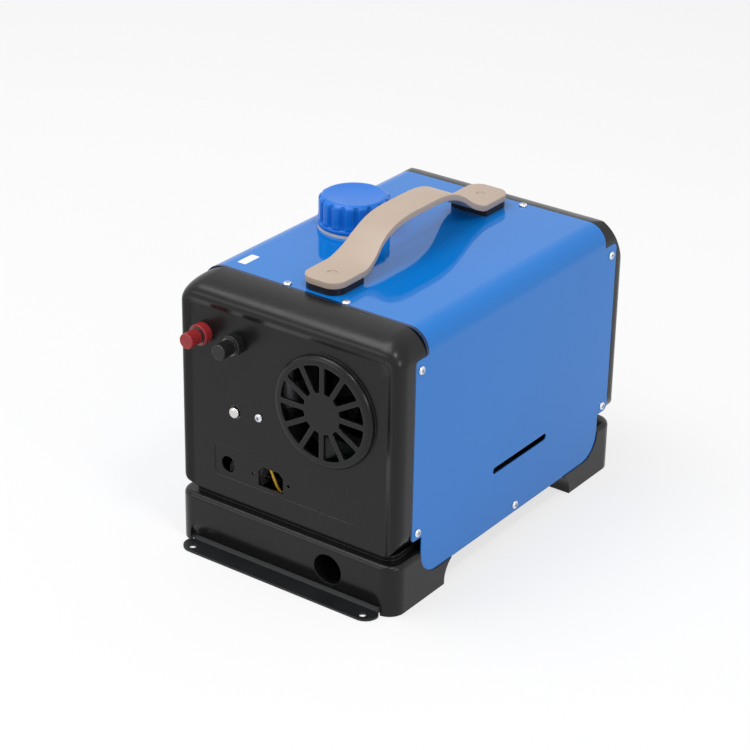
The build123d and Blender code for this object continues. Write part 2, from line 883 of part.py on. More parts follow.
def handle():
    end = handle_mid - handle_half_length
    end_line = Line((end, handle_flat_z), (end, handle_flat_z - handle_thickness))
    crown_line = Line((handle_mid, handle_crown_z), (handle_mid, handle_crown_z - handle_thickness))
    side = make_face([*handle_curve(0), *handle_curve(handle_thickness), end_line, crown_line])
    strap = along_x(side, -handle_end_width, handle_end_width)
    strap = strap & along_z(paddle(0), casing_top, handle_crown_z + 1)
    strap += to_rear(strap, handle_mid)
    for y in handle_screw_places():
        strap -= rod_z(0, y, casing_top, handle_crown_z, handle_screw_radius + shank_gap)
        strap -= rod_z(0, y, handle_flat_z - handle_sink, handle_crown_z, handle_screw_head + fit_gap)
    return strap


def handle_pad():
    """A block under the front paddle that follows its outline."""
    end = handle_mid - handle_half_length
    outline = paddle(pad_margin) & rectangle(-handle_width, handle_width, end, end + handle_flat)
    pad = along_z(outline, casing_top, handle_flat_z - handle_thickness)
    y = handle_screw_places()[0]
    return pad - rod_z(0, y, casing_top - 1, handle_flat_z, handle_screw_radius + shank_gap)


def handle_screws():
    """One sunk screw through each paddle, with a plate and a nut under the sheet."""
    under = casing_top - sheet
    seat = handle_flat_z - handle_sink
    fixings = []
    for y in handle_screw_places():
        head = rod_z(0, y, seat, handle_flat_z - 0.4, handle_screw_head)
        fixings.append(head + rod_z(0, y, under - 8, seat, handle_screw_radius))
        low = under - handle_plate_thickness - handle_nut_thickness
        nut = Pos(0, y, low) * extrude(RegularPolygon(handle_nut_across, 6), handle_nut_thickness)
        nut += rod_z(0, y, under - handle_plate_thickness, under, handle_plate_radius)
        fixings.append(nut - rod_z(0, y, under - 9, under + 1, handle_screw_radius + shank_gap))
    return Compound(children=[f.solid() for f in fixings])


# ---- fuel tank, filler and cap ----
def tank_limits():
    left = -half_width + sheet + tank_side_gap
    front = cover_depth + tank_end_gap
    top = casing_top - sheet - tank_top_gap
    return left, left + tank_width, front, body_length - front, cover_bottom, top


def tank_body(inset):
    x0, x1, y0, y1, z0, z1 = tank_limits()
    width, length = x1 - x0 - 2 * inset, y1 - y0 - 2 * inset
    outline = RectangleRounded(width, length, tank_corner - inset)
    body = along_z(Pos((x0 + x1) / 2, (y0 + y1) / 2) * outline, z0 + inset, z1 - inset)
    return fillet(body.edges().group_by(Axis.Z)[-1], (tank_corner - inset) / 2)


def fuel_tank():
    x0, x1, y0, y1, z0, z1 = tank_limits()
    neck_top = cap_bottom() + cap_height - cap_top_thickness - cap_seal_thickness - running_gap
    tank = tank_body(0) + rod_z(filler_x, filler_y, z1 - 6, neck_top, neck_radius)
    tank -= tank_body(tank_wall)
    tank -= rod_z(filler_x, filler_y, z1 - 12, neck_top + 1, neck_radius - neck_wall)
    x, z = tank_outlet()
    tank += rod_y(x, z, y0 - nipple_length, y0 + 1, nipple_radius)
    return tank - rod_y(x, z, y0 - nipple_length - 1, y0 + tank_wall + 1, nipple_radius - 0.7)


def tank_outlet():
    x0, x1, y0, y1, z0, z1 = tank_limits()
    return x0 + tank_corner + 4, filter_z


def cap_bottom():
    return casing_top + neck_ring_height + running_gap


def neck_ring():
    ring = rod_z(filler_x, filler_y, casing_top, casing_top + neck_ring_height, neck_ring_radius)
    ring = chamfer(ring.edges().group_by(Axis.Z)[-1], 0.8)
    return ring - rod_z(filler_x, filler_y, casing_top - 1, casing_top + 9, neck_radius + fit_gap)


def cap_grip_cuts(z0, z1):
    """Grooves between the grips round the cap's wall."""
    cuts = []
    pitch = 2 * pi * cap_radius / cap_grips
    for index in range(cap_grips):
        groove = block(cap_radius - cap_grip_depth, cap_radius + 2,
                       -pitch * cap_grip_share / 2, pitch * cap_grip_share / 2, z0, z1)
        cuts.append(Pos(filler_x, filler_y, 0) * Rot(0, 0, index * 360 / cap_grips) * groove)
    return cuts


def fuel_cap():
    z0 = cap_bottom()
    top = z0 + cap_height
    cap = rod_z(filler_x, filler_y, z0, top, cap_radius)
    cap = chamfer(cap.edges().group_by(Axis.Z)[-1], cap_edge)
    cap += rod_z(filler_x, filler_y, z0, z0 + cap_skirt_height, cap_skirt_radius)
    cap -= rod_z(filler_x, filler_y, z0 - 1, top - cap_top_thickness, neck_radius + running_gap)
    return cap - cap_grip_cuts(z0 + cap_skirt_height, top - cap_edge)


def cap_seal():
    top = cap_bottom() + cap_height - cap_top_thickness
    seal = rod_z(filler_x, filler_y, top - cap_seal_thickness, top, neck_radius - fit_gap)
    return seal - rod_z(filler_x, filler_y, top - 5, top + 1, neck_radius - neck_wall - 1)


# ---- binding posts ----
def post_collar(x):
    front = face_y - post_collar_length
    collar = rod_y(x, post_z, front, face_y, post_collar_radius)
    collar = chamfer(collar.edges().group_by(Axis.Y)[0], 0.8)
    collar += rod_y(x, post_z, face_y, panel_back, post_spigot_radius)
    return collar - rod_y(x, post_z, front - 1, panel_back + 1, post_stud_radius + shank_gap)


def post_washer(x):
    back = face_y - post_collar_length - shank_gap
    washer = rod_y(x, post_z, back - post_washer_thickness, back, post_washer_radius)
    bore = rod_y(x, post_z, back - 5, back + 5, post_stud_radius + shank_gap)
    return washer - bore


def knob_back():
    return face_y - post_collar_length - post_washer_thickness - 2 * shank_gap


def post_knob(x):
    """A fluted knob with a blind bore for the stud."""
    back = knob_back()
    knob = rod_y(x, post_z, -post_reach, back, post_knob_radius)
    knob = chamfer(knob.edges().group_by(Axis.Y)[0], 0.9)
    flutes = []
    for index in range(post_flutes):
        angle = index * 2 * pi / post_flutes
        flute_x = x + post_knob_radius * cos(angle)
        flute_z = post_z + post_knob_radius * sin(angle)
        flutes.append(rod_y(flute_x, flute_z, -post_reach + 3, back + 1, post_flute_radius))
    bore = rod_y(x, post_z, -post_reach + 3, back + 1, post_stud_radius + shank_gap)
    return knob - flutes - bore


def post_stud(x):
    """A threaded rod that reaches through the panel to its nut."""
    return rod_y(x, post_z, -post_reach + 8, panel_back + post_nut_thickness + 5, post_stud_radius)


def post_nuts():
    nuts = []
    for x in (red_post_x, black_post_x):
        plane = Plane(origin=(x, panel_back + lug_thickness, post_z), z_dir=(0, 1, 0))
        across = post_nut_across / sqrt(3)
        nut = extrude(plane * RegularPolygon(across, 6), post_nut_thickness)
        bore = rod_y(x, post_z, 0, 30, post_stud_radius + shank_gap)
        nuts.append(nut - bore)
    return Compound(children=[n.solid() for n in nuts])


# ---- small pieces of the front panel ----
def blanking_plug():
    """A domed push-in plug with a snap rim behind the panel."""
    stem = plug_hole_radius - 1.2
    plug = rod_y(plug_x, plug_z, face_y - 3.4, panel_back + 3, stem)
    plug = fillet(plug.edges().group_by(Axis.Y)[0], 1.6)
    rim = rod_y(plug_x, plug_z, panel_back, panel_back + 1.5, plug_hole_radius + 1.2)
    return plug + rim


def panel_screw():
    return Pos(panel_screw_x, face_y, panel_screw_z) * Rot(90, 0, 0) * pan_screw(screw_length + wall)


# ---- heater unit ----
def unit_outline(inset):
    outline = rectangle(
        fan_x - unit_half_width + inset, fan_x + unit_half_width - inset,
        unit_bottom + inset, unit_top - inset,
    )
    return fillet(outline.vertices(), unit_corner - inset)


def unit_case():
    """The whole plastic case before it is parted along the fan's axis."""
    case = along_y(unit_outline(0), unit_front, unit_rear)
    case -= along_y(unit_outline(unit_wall), unit_front + unit_wall, unit_rear - unit_wall)
    case -= rod_y(fan_x, fan_z, unit_front - 1, unit_front + 5, intake_radius)
    case -= rod_y(fan_x, fan_z, unit_rear - 5, unit_rear + 1, duct_radius - duct_wall)
    front = foot_start() - 2
    back = foot_start() + foot_length + 2
    half = foot_half_width + 2
    case -= block(fan_x - half, fan_x + half, front, back, unit_bottom - 1, unit_bottom + 5)
    case -= rod_z(fan_x, stub_places()[0], unit_bottom - 1, unit_bottom + 6, stub_radius + stub_hole_gap)
    case -= rod_x(fuel_inlet_y(), fuel_inlet_z(), fan_x - unit_half_width - 1, fan_x - 30, hose_radius + 0.5)
    return case


def heater_upper_shell():
    low = fan_z + shank_gap
    return unit_case() & block(-half_width, half_width, 0, body_length, low, casing_top)


def heater_lower_shell():
    high = fan_z - shank_gap
    return unit_case() & block(-half_width, half_width, 0, body_length, 0, high)


def fan_start():
    return unit_front + intake_gap


def motor_start():
    return fan_start() + fan_width + fan_motor_gap


def housing_start():
    return motor_start() + motor_length + motor_housing_gap


def flange_start():
    return housing_start() + housing_length


def core_start():
    return flange_start() + burner_flange + gasket_thickness


def core_end():
    return unit_rear - core_end_gap


def foot_start():
    return core_start() + foot_inset


def fuel_inlet_y():
    return flange_start() - fuel_inlet_inset


def fuel_inlet_z():
    return fan_z + fuel_inlet_rise


def motor_mount():
    """A plate across the case with air openings round the motor it carries."""
    start = motor_start() + mount_offset
    end = start + mount_thickness
    plate = along_y(unit_outline(unit_wall + fit_gap), start, end)
    reach = 1.6 * mount_window_radius
    for angle in (45, 135, 225, 315):
        window = Circle(mount_window_radius) - Circle(motor_radius + mount_window_gap)
        wedge = make_face(Polyline((0, 0), (reach, 0.77 * reach), (reach, -0.77 * reach), (0, 0)))
        window = window & Rot(0, 0, angle) * wedge
        plate -= along_y(Pos(fan_x, fan_z) * window, start - 1, end + 1)
    sleeve_end = start + mount_sleeve_length
    plate += rod_y(fan_x, fan_z, start, sleeve_end, motor_radius + mount_thickness)
    return plate - rod_y(fan_x, fan_z, start - 1, sleeve_end + 1, motor_radius + shank_gap)


def blower_motor():
    start = motor_start()
    can = rod_y(fan_x, fan_z, start, start + motor_length, motor_radius)
    can = fillet(can.edges().group_by(Axis.Y)[0], motor_edge)
    return can - rod_y(fan_x, fan_z, start - 1, start + motor_length + 1, shaft_radius + shank_gap)


def motor_shaft():
    return rod_y(fan_x, fan_z, fan_start() + 2, blower_start() + blower_width, shaft_radius)


def fan_blade(radius_in, radius_out, pitch_in, pitch_out):
    """A twisted blade standing out along +X, with the axis of turning along Y."""
    thin = 0.8 * blade_thickness
    root = Rot(0, 0, pitch_in) * Rectangle(fan_width, blade_thickness)
    tip = Rot(0, 0, pitch_out) * Rectangle(0.9 * fan_width, thin)
    inner = Plane(origin=(radius_in, 0, 0), z_dir=(1, 0, 0))
    outer = Plane(origin=(radius_out, 0, 0), z_dir=(1, 0, 0))
    return loft([inner * root, outer * tip], ruled=True)


def intake_fan():
    start = fan_start()
    centre = start + fan_width / 2
    hub = rod_y(fan_x, fan_z, start, start + fan_width, fan_hub_radius)
    hub = fillet(hub.edges().group_by(Axis.Y)[0], fan_hub_edge)
    blade = fan_blade(fan_hub_radius - 2, fan_radius - 0.5, blade_pitch_in, blade_pitch_out)
    limit = rod_y(fan_x, fan_z, start, start + fan_width, fan_radius)
    for index in range(fan_blades):
        turned = Pos(fan_x, centre, fan_z) * Rot(0, index * 360 / fan_blades, 0) * blade
        hub += turned & limit
    return hub - rod_y(fan_x, fan_z, start + 2, start + fan_width + 1, shaft_radius)


def blower_start():
    return housing_start() + blower_offset


def combustion_fan():
    start = blower_start()
    tip = fan_x + blower_radius - 1
    wheel = rod_y(fan_x, fan_z, start + blower_width - 2, start + blower_width, blower_radius)
    wheel += rod_y(fan_x, fan_z, start, start + blower_width, shaft_radius + 4)
    for index in range(blower_vanes):
        vane = block(fan_x + 8, tip, start, start + blower_width, fan_z - 0.8, fan_z + 0.8)
        wheel += turned_about_y(vane, fan_x, fan_z, index * 360 / blower_vanes)
    return wheel - rod_y(fan_x, fan_z, start - 1, start + blower_width + 1, shaft_radius)


def combustion_housing():
    """A cast drum round the combustion fan, with the air stub below and the fuel nipple beside."""
    start = housing_start()
    end = start + housing_length
    drum = rod_y(fan_x, fan_z, start, end, housing_radius)
    air_y = stub_places()[0]
    drum += stub(air_y, fan_z)
    room_start = blower_start() - blower_gap
    room_end = blower_start() + blower_width + blower_gap
    drum -= rod_y(fan_x, fan_z, room_start, room_end, blower_radius + blower_gap)
    drum -= rod_y(fan_x, fan_z, blower_start(), end + 1, burner_radius - 6)
    drum -= rod_y(fan_x, fan_z, start - 1, start + 20, shaft_radius + 1)
    drum -= rod_z(fan_x, air_y, stub_end_z - 1, fan_z - burner_radius + 8, stub_bore)
    nipple_tip = fan_x - housing_radius - nipple_length
    drum += rod_x(fuel_inlet_y(), fuel_inlet_z(), nipple_tip, fan_x - 35, nipple_radius)
    plug_low = fan_z + burner_radius - 4
    return drum - rod_z(fan_x, end - glow_plug_inset, plug_low, fan_z + housing_radius + 9, glow_plug_radius)


def stub(y, top):
    """A pipe stub that hangs through the deck and ends in a slimmer length for the hose clamp."""
    shoulder_at = stub_end_z + stub_length
    pipe = rod_z(fan_x, y, stub_end_z, shoulder_at, stub_radius)
    return pipe + rod_z(fan_x, y, shoulder_at, top, stub_radius + stub_shoulder)


def glow_plug():
    y = flange_start() - glow_plug_inset
    seat = fan_z + housing_radius + 1
    stem = rod_z(fan_x, y, fan_z + burner_radius - 2, seat + 1, glow_plug_radius - shank_gap)
    hexagon = Pos(fan_x, y, seat) * extrude(RegularPolygon(1.5 * glow_plug_radius, 6), 1.5 * glow_plug_radius)
    terminal = rod_z(fan_x, y, seat + glow_plug_radius, seat + 3 * glow_plug_radius, glow_plug_radius / 2)
    return stem + hexagon + terminal


def burner():
    start = flange_start()
    tube = rod_y(fan_x, fan_z, start, start + burner_flange, housing_radius - 6)
    tube += rod_y(fan_x, fan_z, start, start + burner_length, burner_radius)
    return tube - rod_y(fan_x, fan_z, start - 1, start + burner_length + 1, burner_radius - 2)


def burner_gasket():
    start = flange_start() + burner_flange
    ring = rod_y(fan_x, fan_z, start, start + gasket_thickness, housing_radius - 6)
    return ring - rod_y(fan_x, fan_z, start - 1, start + 5, burner_radius + 1)


def heat_exchanger():
    """A blind cast core with radial fins, a foot below and the exhaust stub."""
    start = core_start()
    end = core_end()
    core = rod_y(fan_x, fan_z, start, end, core_radius)
    core = fillet(core.edges().group_by(Axis.Y)[-1], 8)
    core += rod_y(fan_x, fan_z, start, start + 4, housing_radius - 6)
    root, tip = fan_x + core_radius - 2, fan_x + fin_radius
    half = fin_thickness / 2
    for index in range(fin_count):
        fin = block(root, tip, start + 12, end - 10, fan_z - half, fan_z + half)
        core += turned_about_y(fin, fan_x, fan_z, (index + 0.5) * 360 / fin_count)
    core += foot_column()
    core += stub(stub_places()[1], fan_z - core_radius + 3)
    core += block(fan_x - 8, fan_x + 8, end - 40, end - 20, fan_z + core_radius - 4, fan_z + fin_radius + 1)
    core -= rod_y(fan_x, fan_z, start - 1, end - 6, core_bore)
    return core - rod_z(fan_x, stub_places()[1], stub_end_z - 1, fan_z - core_bore + 3, stub_bore)


def foot_column():
    start = foot_start()
    low = bracket_top() + floor_gasket
    return block(fan_x - foot_half_width, fan_x + foot_half_width, start, start + foot_length,
                 low, fan_z - core_radius + 5)


def bracket_top():
    return unit_bottom - 3 - floor_gasket


def bracket_span():
    return housing_start() + 8, foot_start() + foot_length + 12


def floor_gasket_plate():
    start = foot_start()
    low = bracket_top()
    plate = block(fan_x - foot_half_width, fan_x + foot_half_width, start, start + foot_length,
                  low, low + floor_gasket)
    return plate - rod_z(fan_x, stub_places()[1], low - 1, low + 9, stub_radius + stub_hole_gap)


def unit_bracket():
    """A folded bridge that carries the heater unit above the deck."""
    y0, y1 = bracket_span()
    top = bracket_top()
    half = bracket_half_width
    section = make_face(Polyline(
        (fan_x - half - bracket_flange, deck_top), (fan_x - half, deck_top),
        (fan_x - half, top - bracket_thickness), (fan_x + half, top - bracket_thickness),
        (fan_x + half, deck_top), (fan_x + half + bracket_flange, deck_top),
        (fan_x + half + bracket_flange, deck_top + bracket_thickness),
        (fan_x + half + bracket_thickness, deck_top + bracket_thickness),
        (fan_x + half + bracket_thickness, top), (fan_x - half - bracket_thickness, top),
        (fan_x - half - bracket_thickness, deck_top + bracket_thickness),
        (fan_x - half - bracket_flange, deck_top + bracket_thickness),
        (fan_x - half - bracket_flange, deck_top),
    ))
    bridge = along_y(section, y0, y1)
    for y in stub_places():
        bridge -= rod_z(fan_x, y, top - 5, top + 1, stub_radius + stub_hole_gap)
    for side in (-1, 1):
        window = Pos((y0 + y1) / 2, (deck_top + top) / 2) * RectangleRounded(60, 22, 8)
        bridge -= along_x(window, fan_x + side * half - 5, fan_x + side * half + 5)
    return bridge


def overheat_sensor():
    z = fan_z + fin_radius + 1
    y = core_end() - 30
    return rod_z(fan_x, y, z, z + 4, 6) + rod_z(fan_x, y, z + 4, z + 7, 3)


# ---- dosing pump, filter and hoses ----
def pump_body():
    low, high = pump_bottom, pump_bottom + pump_length
    body = rod_z(pump_x, pump_y, low + pump_cap_length, high - pump_cap_length, pump_radius)
    body += rod_z(pump_x, pump_y, low, high, pump_radius * 0.6)
    body += rod_z(pump_x, pump_y, low - nipple_length, high + nipple_length, nipple_radius)
    return body - rod_z(pump_x, pump_y, *pump_chamber(), pump_bore)


def pump_chamber():
    low = pump_bottom + chamber_inset
    return low, low + plunger_length + plunger_stroke + spring_room


def pump_plunger():
    low = pump_chamber()[0] + shank_gap
    return rod_z(pump_x, pump_y, low, low + plunger_length, pump_bore - shank_gap)


def pump_spring():
    low = pump_chamber()[0] + 2 * shank_gap + plunger_length
    height = pump_chamber()[1] - shank_gap - low
    coil_radius = pump_bore - spring_wire - 1
    helix = Helix((height - 2 * spring_wire) / spring_turns, height - 2 * spring_wire, coil_radius)
    path = Pos(pump_x, pump_y, low + spring_wire) * helix
    section = Plane(origin=path @ 0, z_dir=path % 0) * Circle(spring_wire)
    return sweep(section, path, is_frenet=True)


def pump_clamp():
    """A rubber ring round the pump with a lug that the panel screw holds."""
    z0, z1 = panel_screw_z - clamp_half_height, panel_screw_z + clamp_half_height
    left, right = panel_screw_x - clamp_lug_half_width, panel_screw_x + clamp_lug_half_width
    ring = rod_z(pump_x, pump_y, z0, z1, pump_radius + clamp_wall)
    ring += block(left, right, panel_back, pump_y, z0, z1)
    ring -= rod_z(pump_x, pump_y, z0 - 1, z1 + 1, pump_radius + shank_gap)
    return ring - rod_y(panel_screw_x, panel_screw_z, 0, pump_y - 10, screw_shank + shank_gap)


def fuel_filter():
    x0, x1 = filter_left, filter_left + filter_length
    body = rod_x(pump_y, filter_z, x0, x1, filter_radius)
    body = chamfer(body.edges().filter_by(GeomType.CIRCLE), 2)
    return body + rod_x(pump_y, filter_z, x0 - nipple_length, x1 + nipple_length, nipple_radius)


def tube_along(points, radius, bore):
    """A tube on straight runs and tangent arcs, each arc as large as its runs allow."""
    radii = []
    for before, corner, after in zip(points, points[1:], points[2:]):
        run_in = Vector(*corner) - Vector(*before)
        run_out = Vector(*after) - Vector(*corner)
        turn = radians(run_in.get_angle(run_out))
        radii.append(0.45 * min(run_in.length, run_out.length) / tan(turn / 2))
    path = FilletPolyline(*points, radius=radii)
    section = Circle(radius)
    if bore > 0:
        section -= Circle(bore)
    tube = sweep(Plane(origin=path @ 0, z_dir=path % 0) * section, path)
    expected = pi * (radius**2 - bore**2) * path.length
    print("tube radii", [round(r, 1) for r in radii], "volume ratio", round(tube.volume / expected, 4))
    return tube


def suction_hose():
    x, z = tank_outlet()
    tank_front = tank_limits()[2]
    end = filter_left - nipple_length + hose_grip
    return tube_along([
        (x, tank_front - nipple_length + hose_grip, z), (x, pump_y, z), (end, pump_y, z),
    ], hose_radius, hose_bore)


def filter_hose():
    start = filter_left + filter_length + nipple_length - hose_grip
    return tube_along([
        (start, pump_y, filter_z), (pump_x, pump_y, filter_z),
        (pump_x, pump_y, pump_bottom - nipple_length + hose_grip),
    ], hose_radius, hose_bore)


def burner_hose():
    start = pump_bottom + pump_length + nipple_length - hose_grip
    side_x = fan_x - unit_half_width - hose_radius - 4
    end = fan_x - housing_radius - nipple_length + hose_grip
    return tube_along([
        (pump_x, pump_y, start), (pump_x, pump_y, start + 30), (side_x, fuel_inlet_y(), start + 34),
        (side_x, fuel_inlet_y(), fuel_inlet_z()), (end, fuel_inlet_y(), fuel_inlet_z()),
    ], hose_radius, hose_bore)


# ---- control board and leads ----
def board_low():
    return cover_bottom + wall + board_lift


def control_board():
    """A circuit board with its connectors, relay and capacitors on the front side."""
    x0, x1 = board_left, board_left + board_width
    z0, z1 = board_low(), board_low() + board_height
    board = block(x0, x1, board_y, board_y + board_thickness, z0, z1)
    board += block(x0 + 4, x0 + 26, board_y - 10, board_y + 0.5, z0 + 3, z0 + 11)
    board += block(x0 + 32, x0 + 62, board_y - 8, board_y + 0.5, z0 + 3, z0 + 10)
    board += block(x0 + 8, x0 + 24, board_y - 14, board_y + 0.5, z0 + 24, z0 + 40)
    board += block(x1 - 34, x1 - 16, board_y - 3, board_y + 0.5, z0 + 28, z0 + 46)
    for x in (x0 + 36, x0 + 50):
        board += rod_y(x, z1 - 10, board_y - 16, board_y + 0.5, 5)
    return board


def board_bracket():
    """An angle that stands on the deck and carries the board by four spacers."""
    x0, x1 = board_left, board_left + board_width
    z0, z1 = board_low(), board_low() + board_height
    y = board_y + board_thickness + spacer_length
    floor = cover_bottom + wall
    top = z1 - board_hole_inset - spacer_radius
    bracket = block(x0, x1, y, y + board_plate, floor, top)
    bracket += block(x0, x1, y + board_plate - board_flange, y + board_plate, floor, floor + board_plate)
    for x in (x0 + board_hole_inset, x1 - board_hole_inset):
        for z in (z0 + board_hole_inset, top - board_hole_inset):
            bracket += rod_y(x, z, board_y + board_thickness, y + board_plate / 2, spacer_radius)
    return bracket


def lead(x, points):
    """A lead from a ring lug on the post's stud to the board's first connector."""
    start = (x, panel_back + fit_gap + lead_radius, post_z - post_nut_across + 1)
    wire = tube_along([start, *points], lead_radius, 0)
    lug = rod_y(x, post_z, panel_back, panel_back + lug_thickness, post_nut_across / 2 + 1)
    lug += block(x - 2.5, x + 2.5, panel_back, panel_back + lug_thickness, start[2] - 1, post_z - 3)
    lug += block(x - 2, x + 2, panel_back, start[1] + lead_radius + 0.3, start[2] - 4, start[2] + 1)
    lug -= rod_y(x, post_z, panel_back - 1, panel_back + 5, post_stud_radius + shank_gap)
    return wire + lug


def orange_lead():
    target = (board_left + 10, board_y - 10, board_low() + 7)
    return lead(red_post_x, [
        (red_post_x, 10, post_z - 50), (inlet_x - 34, 15, inlet_z + 32),
        (inlet_x - 9, 15, inlet_z + 4), (inlet_x + 2, 15, inlet_z - 20),
        (target[0], 18, target[2]), target,
    ])


def yellow_lead():
    target = (board_left + 18, board_y - 10, board_low() + 7)
    return lead(black_post_x, [
        (black_post_x, 10, post_z - 60), (inlet_x - 18, 11, inlet_z + 36),
        (inlet_x - 6, 11, inlet_z + 6), (inlet_x + 6, 11, inlet_z - 18),
        (target[0], 13, target[2]), target,
    ])


pieces = {
    "front_cover": front_cover,
    "rear_cover": rear_cover,
    "outlet_grille": outlet_grille,
    "casing_shell": casing_shell,
    "casing_screws": casing_screws,
    "base_tray": base_tray,
    "front_mounting_strip": mounting_strip,
    "rear_mounting_strip": lambda: to_rear(mounting_strip(), base_mid),
    "strip_screws": strip_screws,
    "handle": handle,
    "front_handle_pad": handle_pad,
    "rear_handle_pad": lambda: to_rear(handle_pad(), handle_mid),
    "handle_screws": handle_screws,
    "fuel_tank": fuel_tank,
    "neck_ring": neck_ring,
    "fuel_cap": fuel_cap,
    "cap_seal": cap_seal,
    "red_post_collar": lambda: post_collar(red_post_x),
    "red_post_washer": lambda: post_washer(red_post_x),
    "red_post_knob": lambda: post_knob(red_post_x),
    "red_post_stud": lambda: post_stud(red_post_x),
    "black_post_collar": lambda: post_collar(black_post_x),
    "black_post_washer": lambda: post_washer(black_post_x),
    "black_post_knob": lambda: post_knob(black_post_x),
    "black_post_stud": lambda: post_stud(black_post_x),
    "post_nuts": post_nuts,
    "blanking_plug": blanking_plug,
    "panel_screw": panel_screw,
    "heater_upper_shell": heater_upper_shell,
    "heater_lower_shell": heater_lower_shell,
    "motor_mount": motor_mount,
    "blower_motor": blower_motor,
    "motor_shaft": motor_shaft,
    "intake_fan": intake_fan,
    "combustion_fan": combustion_fan,
    "combustion_housing": combustion_housing,
    "glow_plug": glow_plug,
    "burner": burner,
    "burner_gasket": burner_gasket,
    "heat_exchanger": heat_exchanger,
    "floor_gasket": floor_gasket_plate,
    "unit_bracket": unit_bracket,
    "overheat_sensor": overheat_sensor,
    "pump_body": pump_body,
    "pump_plunger": pump_plunger,
    "pump_spring": pump_spring,
    "pump_clamp": pump_clamp,
    "fuel_filter": fuel_filter,
    "suction_hose": suction_hose,
    "filter_hose": filter_hose,
    "burner_hose": burner_hose,
    "control_board": control_board,
    "board_bracket": board_bracket,
    "orange_lead": orange_lead,
    "yellow_lead": yellow_lead,
}

for name, make in pieces.items():
    save(name, make())
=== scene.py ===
import bpy
import bmesh
import json
from math import atan2, cos, sin, pi, radians, sqrt
from mathutils import Matrix, Vector


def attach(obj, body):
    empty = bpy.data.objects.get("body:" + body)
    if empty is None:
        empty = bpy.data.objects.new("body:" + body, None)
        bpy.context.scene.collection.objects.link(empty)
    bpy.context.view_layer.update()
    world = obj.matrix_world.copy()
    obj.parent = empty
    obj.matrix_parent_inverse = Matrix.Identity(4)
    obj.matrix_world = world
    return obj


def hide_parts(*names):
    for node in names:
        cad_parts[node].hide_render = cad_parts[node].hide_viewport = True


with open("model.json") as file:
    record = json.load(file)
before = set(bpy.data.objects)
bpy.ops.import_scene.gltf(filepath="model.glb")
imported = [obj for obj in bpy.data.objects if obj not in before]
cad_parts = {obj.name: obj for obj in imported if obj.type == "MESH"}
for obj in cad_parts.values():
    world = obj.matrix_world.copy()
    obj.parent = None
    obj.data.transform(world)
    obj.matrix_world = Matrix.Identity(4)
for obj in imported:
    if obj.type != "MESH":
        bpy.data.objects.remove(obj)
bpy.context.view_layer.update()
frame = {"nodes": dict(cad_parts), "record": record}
nodes = frame["nodes"]
print("frame loaded,", len(nodes), "nodes")

# the camera stands where the photograph was taken
cameraSettings = {
    "place": (1.1538, -1.6598, 1.1308),
    "azimuth": 35.69,
    "elevation": 26.39,
    "roll": 1.01,
    "lens": 115.69,
    "sensor": 36,
    "nearest": 0.05,
    "farthest": 30,
}


def addCamera(s):
    a, e, r = radians(s["azimuth"]), radians(s["elevation"]), radians(s["roll"])
    back = Vector((sin(a) * cos(e), -cos(a) * cos(e), sin(e)))
    right = Vector((cos(a), sin(a), 0))
    up = back.cross(right)
    rightTurned = cos(r) * right + sin(r) * up
    upTurned = back.cross(rightTurned)
    data = bpy.data.cameras.new("photoCamera")
    data.sensor_width = s["sensor"]
    data.lens = s["lens"]
    data.clip_start = s["nearest"]
    data.clip_end = s["farthest"]
    camera = bpy.data.objects.new("photoCamera", data)
    bpy.context.scene.collection.objects.link(camera)
    turn = Matrix((rightTurned, upTurned, back)).transposed().to_4x4()
    camera.matrix_world = Matrix.Translation(s["place"]) @ turn
    bpy.context.scene.camera = camera


addCamera(cameraSettings)

# plain pale floor and soft light
studioSettings = {
    "floorSize": 16.0,
    "floorDrop": 0.0004,
    "floorColour": (0.86, 0.86, 0.86, 1),
    "floorOwnLight": 0.7,
    "white": (1, 1, 1, 1),
    "worldStrength": 0.55,
    "backdropStrength": 1,
    "lamps": [
        {"name": "topSoftbox", "place": (-0.8, -0.5, 2.5), "size": 1.5, "watts": 30, "aim": (0, 0, 0.1)},
        {"name": "keySoftbox", "place": (0.86, -0.5, 2.0), "size": 0.24, "watts": 8, "aim": (0, 0, 0.15)},
        {"name": "rightSoftbox", "place": (2.5, -0.7, 1.2), "size": 0.8, "watts": 13, "aim": (0, 0, 0.12)},
        {"name": "frontSoftbox", "place": (-1.5, -2.6, 1.2), "size": 1.6, "watts": 12, "aim": (0, 0, 0.12)},
    ],
}


def mathNode(tree, operation, values):
    # each value is a number to set or a socket to link
    node = tree.nodes.new("ShaderNodeMath")
    node.operation = operation
    for socket, value in zip(node.inputs, values):
        if isinstance(value, (int, float)):
            socket.default_value = value
        else:
            tree.links.new(value, socket)
    return node.outputs[0]


def mixShaders(tree, share, first, second):
    node = tree.nodes.new("ShaderNodeMixShader")
    for socket, source in zip(node.inputs, (share, first, second)):
        tree.links.new(source, socket)
    return node.outputs[0]


def seenDirectly(tree):
    # camera, mirror and glass rays all see the white backdrop
    path = tree.nodes.new("ShaderNodeLightPath")
    seen = path.outputs["Is Camera Ray"]
    for kind in ("Is Glossy Ray", "Is Transmission Ray"):
        seen = mathNode(tree, "MAXIMUM", (seen, path.outputs[kind]))
    return seen


def addWorld(s):
    world = bpy.data.worlds.new("studioWorld")
    world.use_nodes = True
    bpy.context.scene.world = world
    tree = world.node_tree
    tree.nodes.clear()
    # the soft light that falls on the part, and the white that is seen round it
    lights = []
    for strength in (s["worldStrength"], s["backdropStrength"]):
        light = tree.nodes.new("ShaderNodeBackground")
        light.inputs["Color"].default_value = s["white"]
        light.inputs["Strength"].default_value = strength
        lights.append(light.outputs[0])
    out = tree.nodes.new("ShaderNodeOutputWorld")
    tree.links.new(mixShaders(tree, seenDirectly(tree), *lights), out.inputs["Surface"])


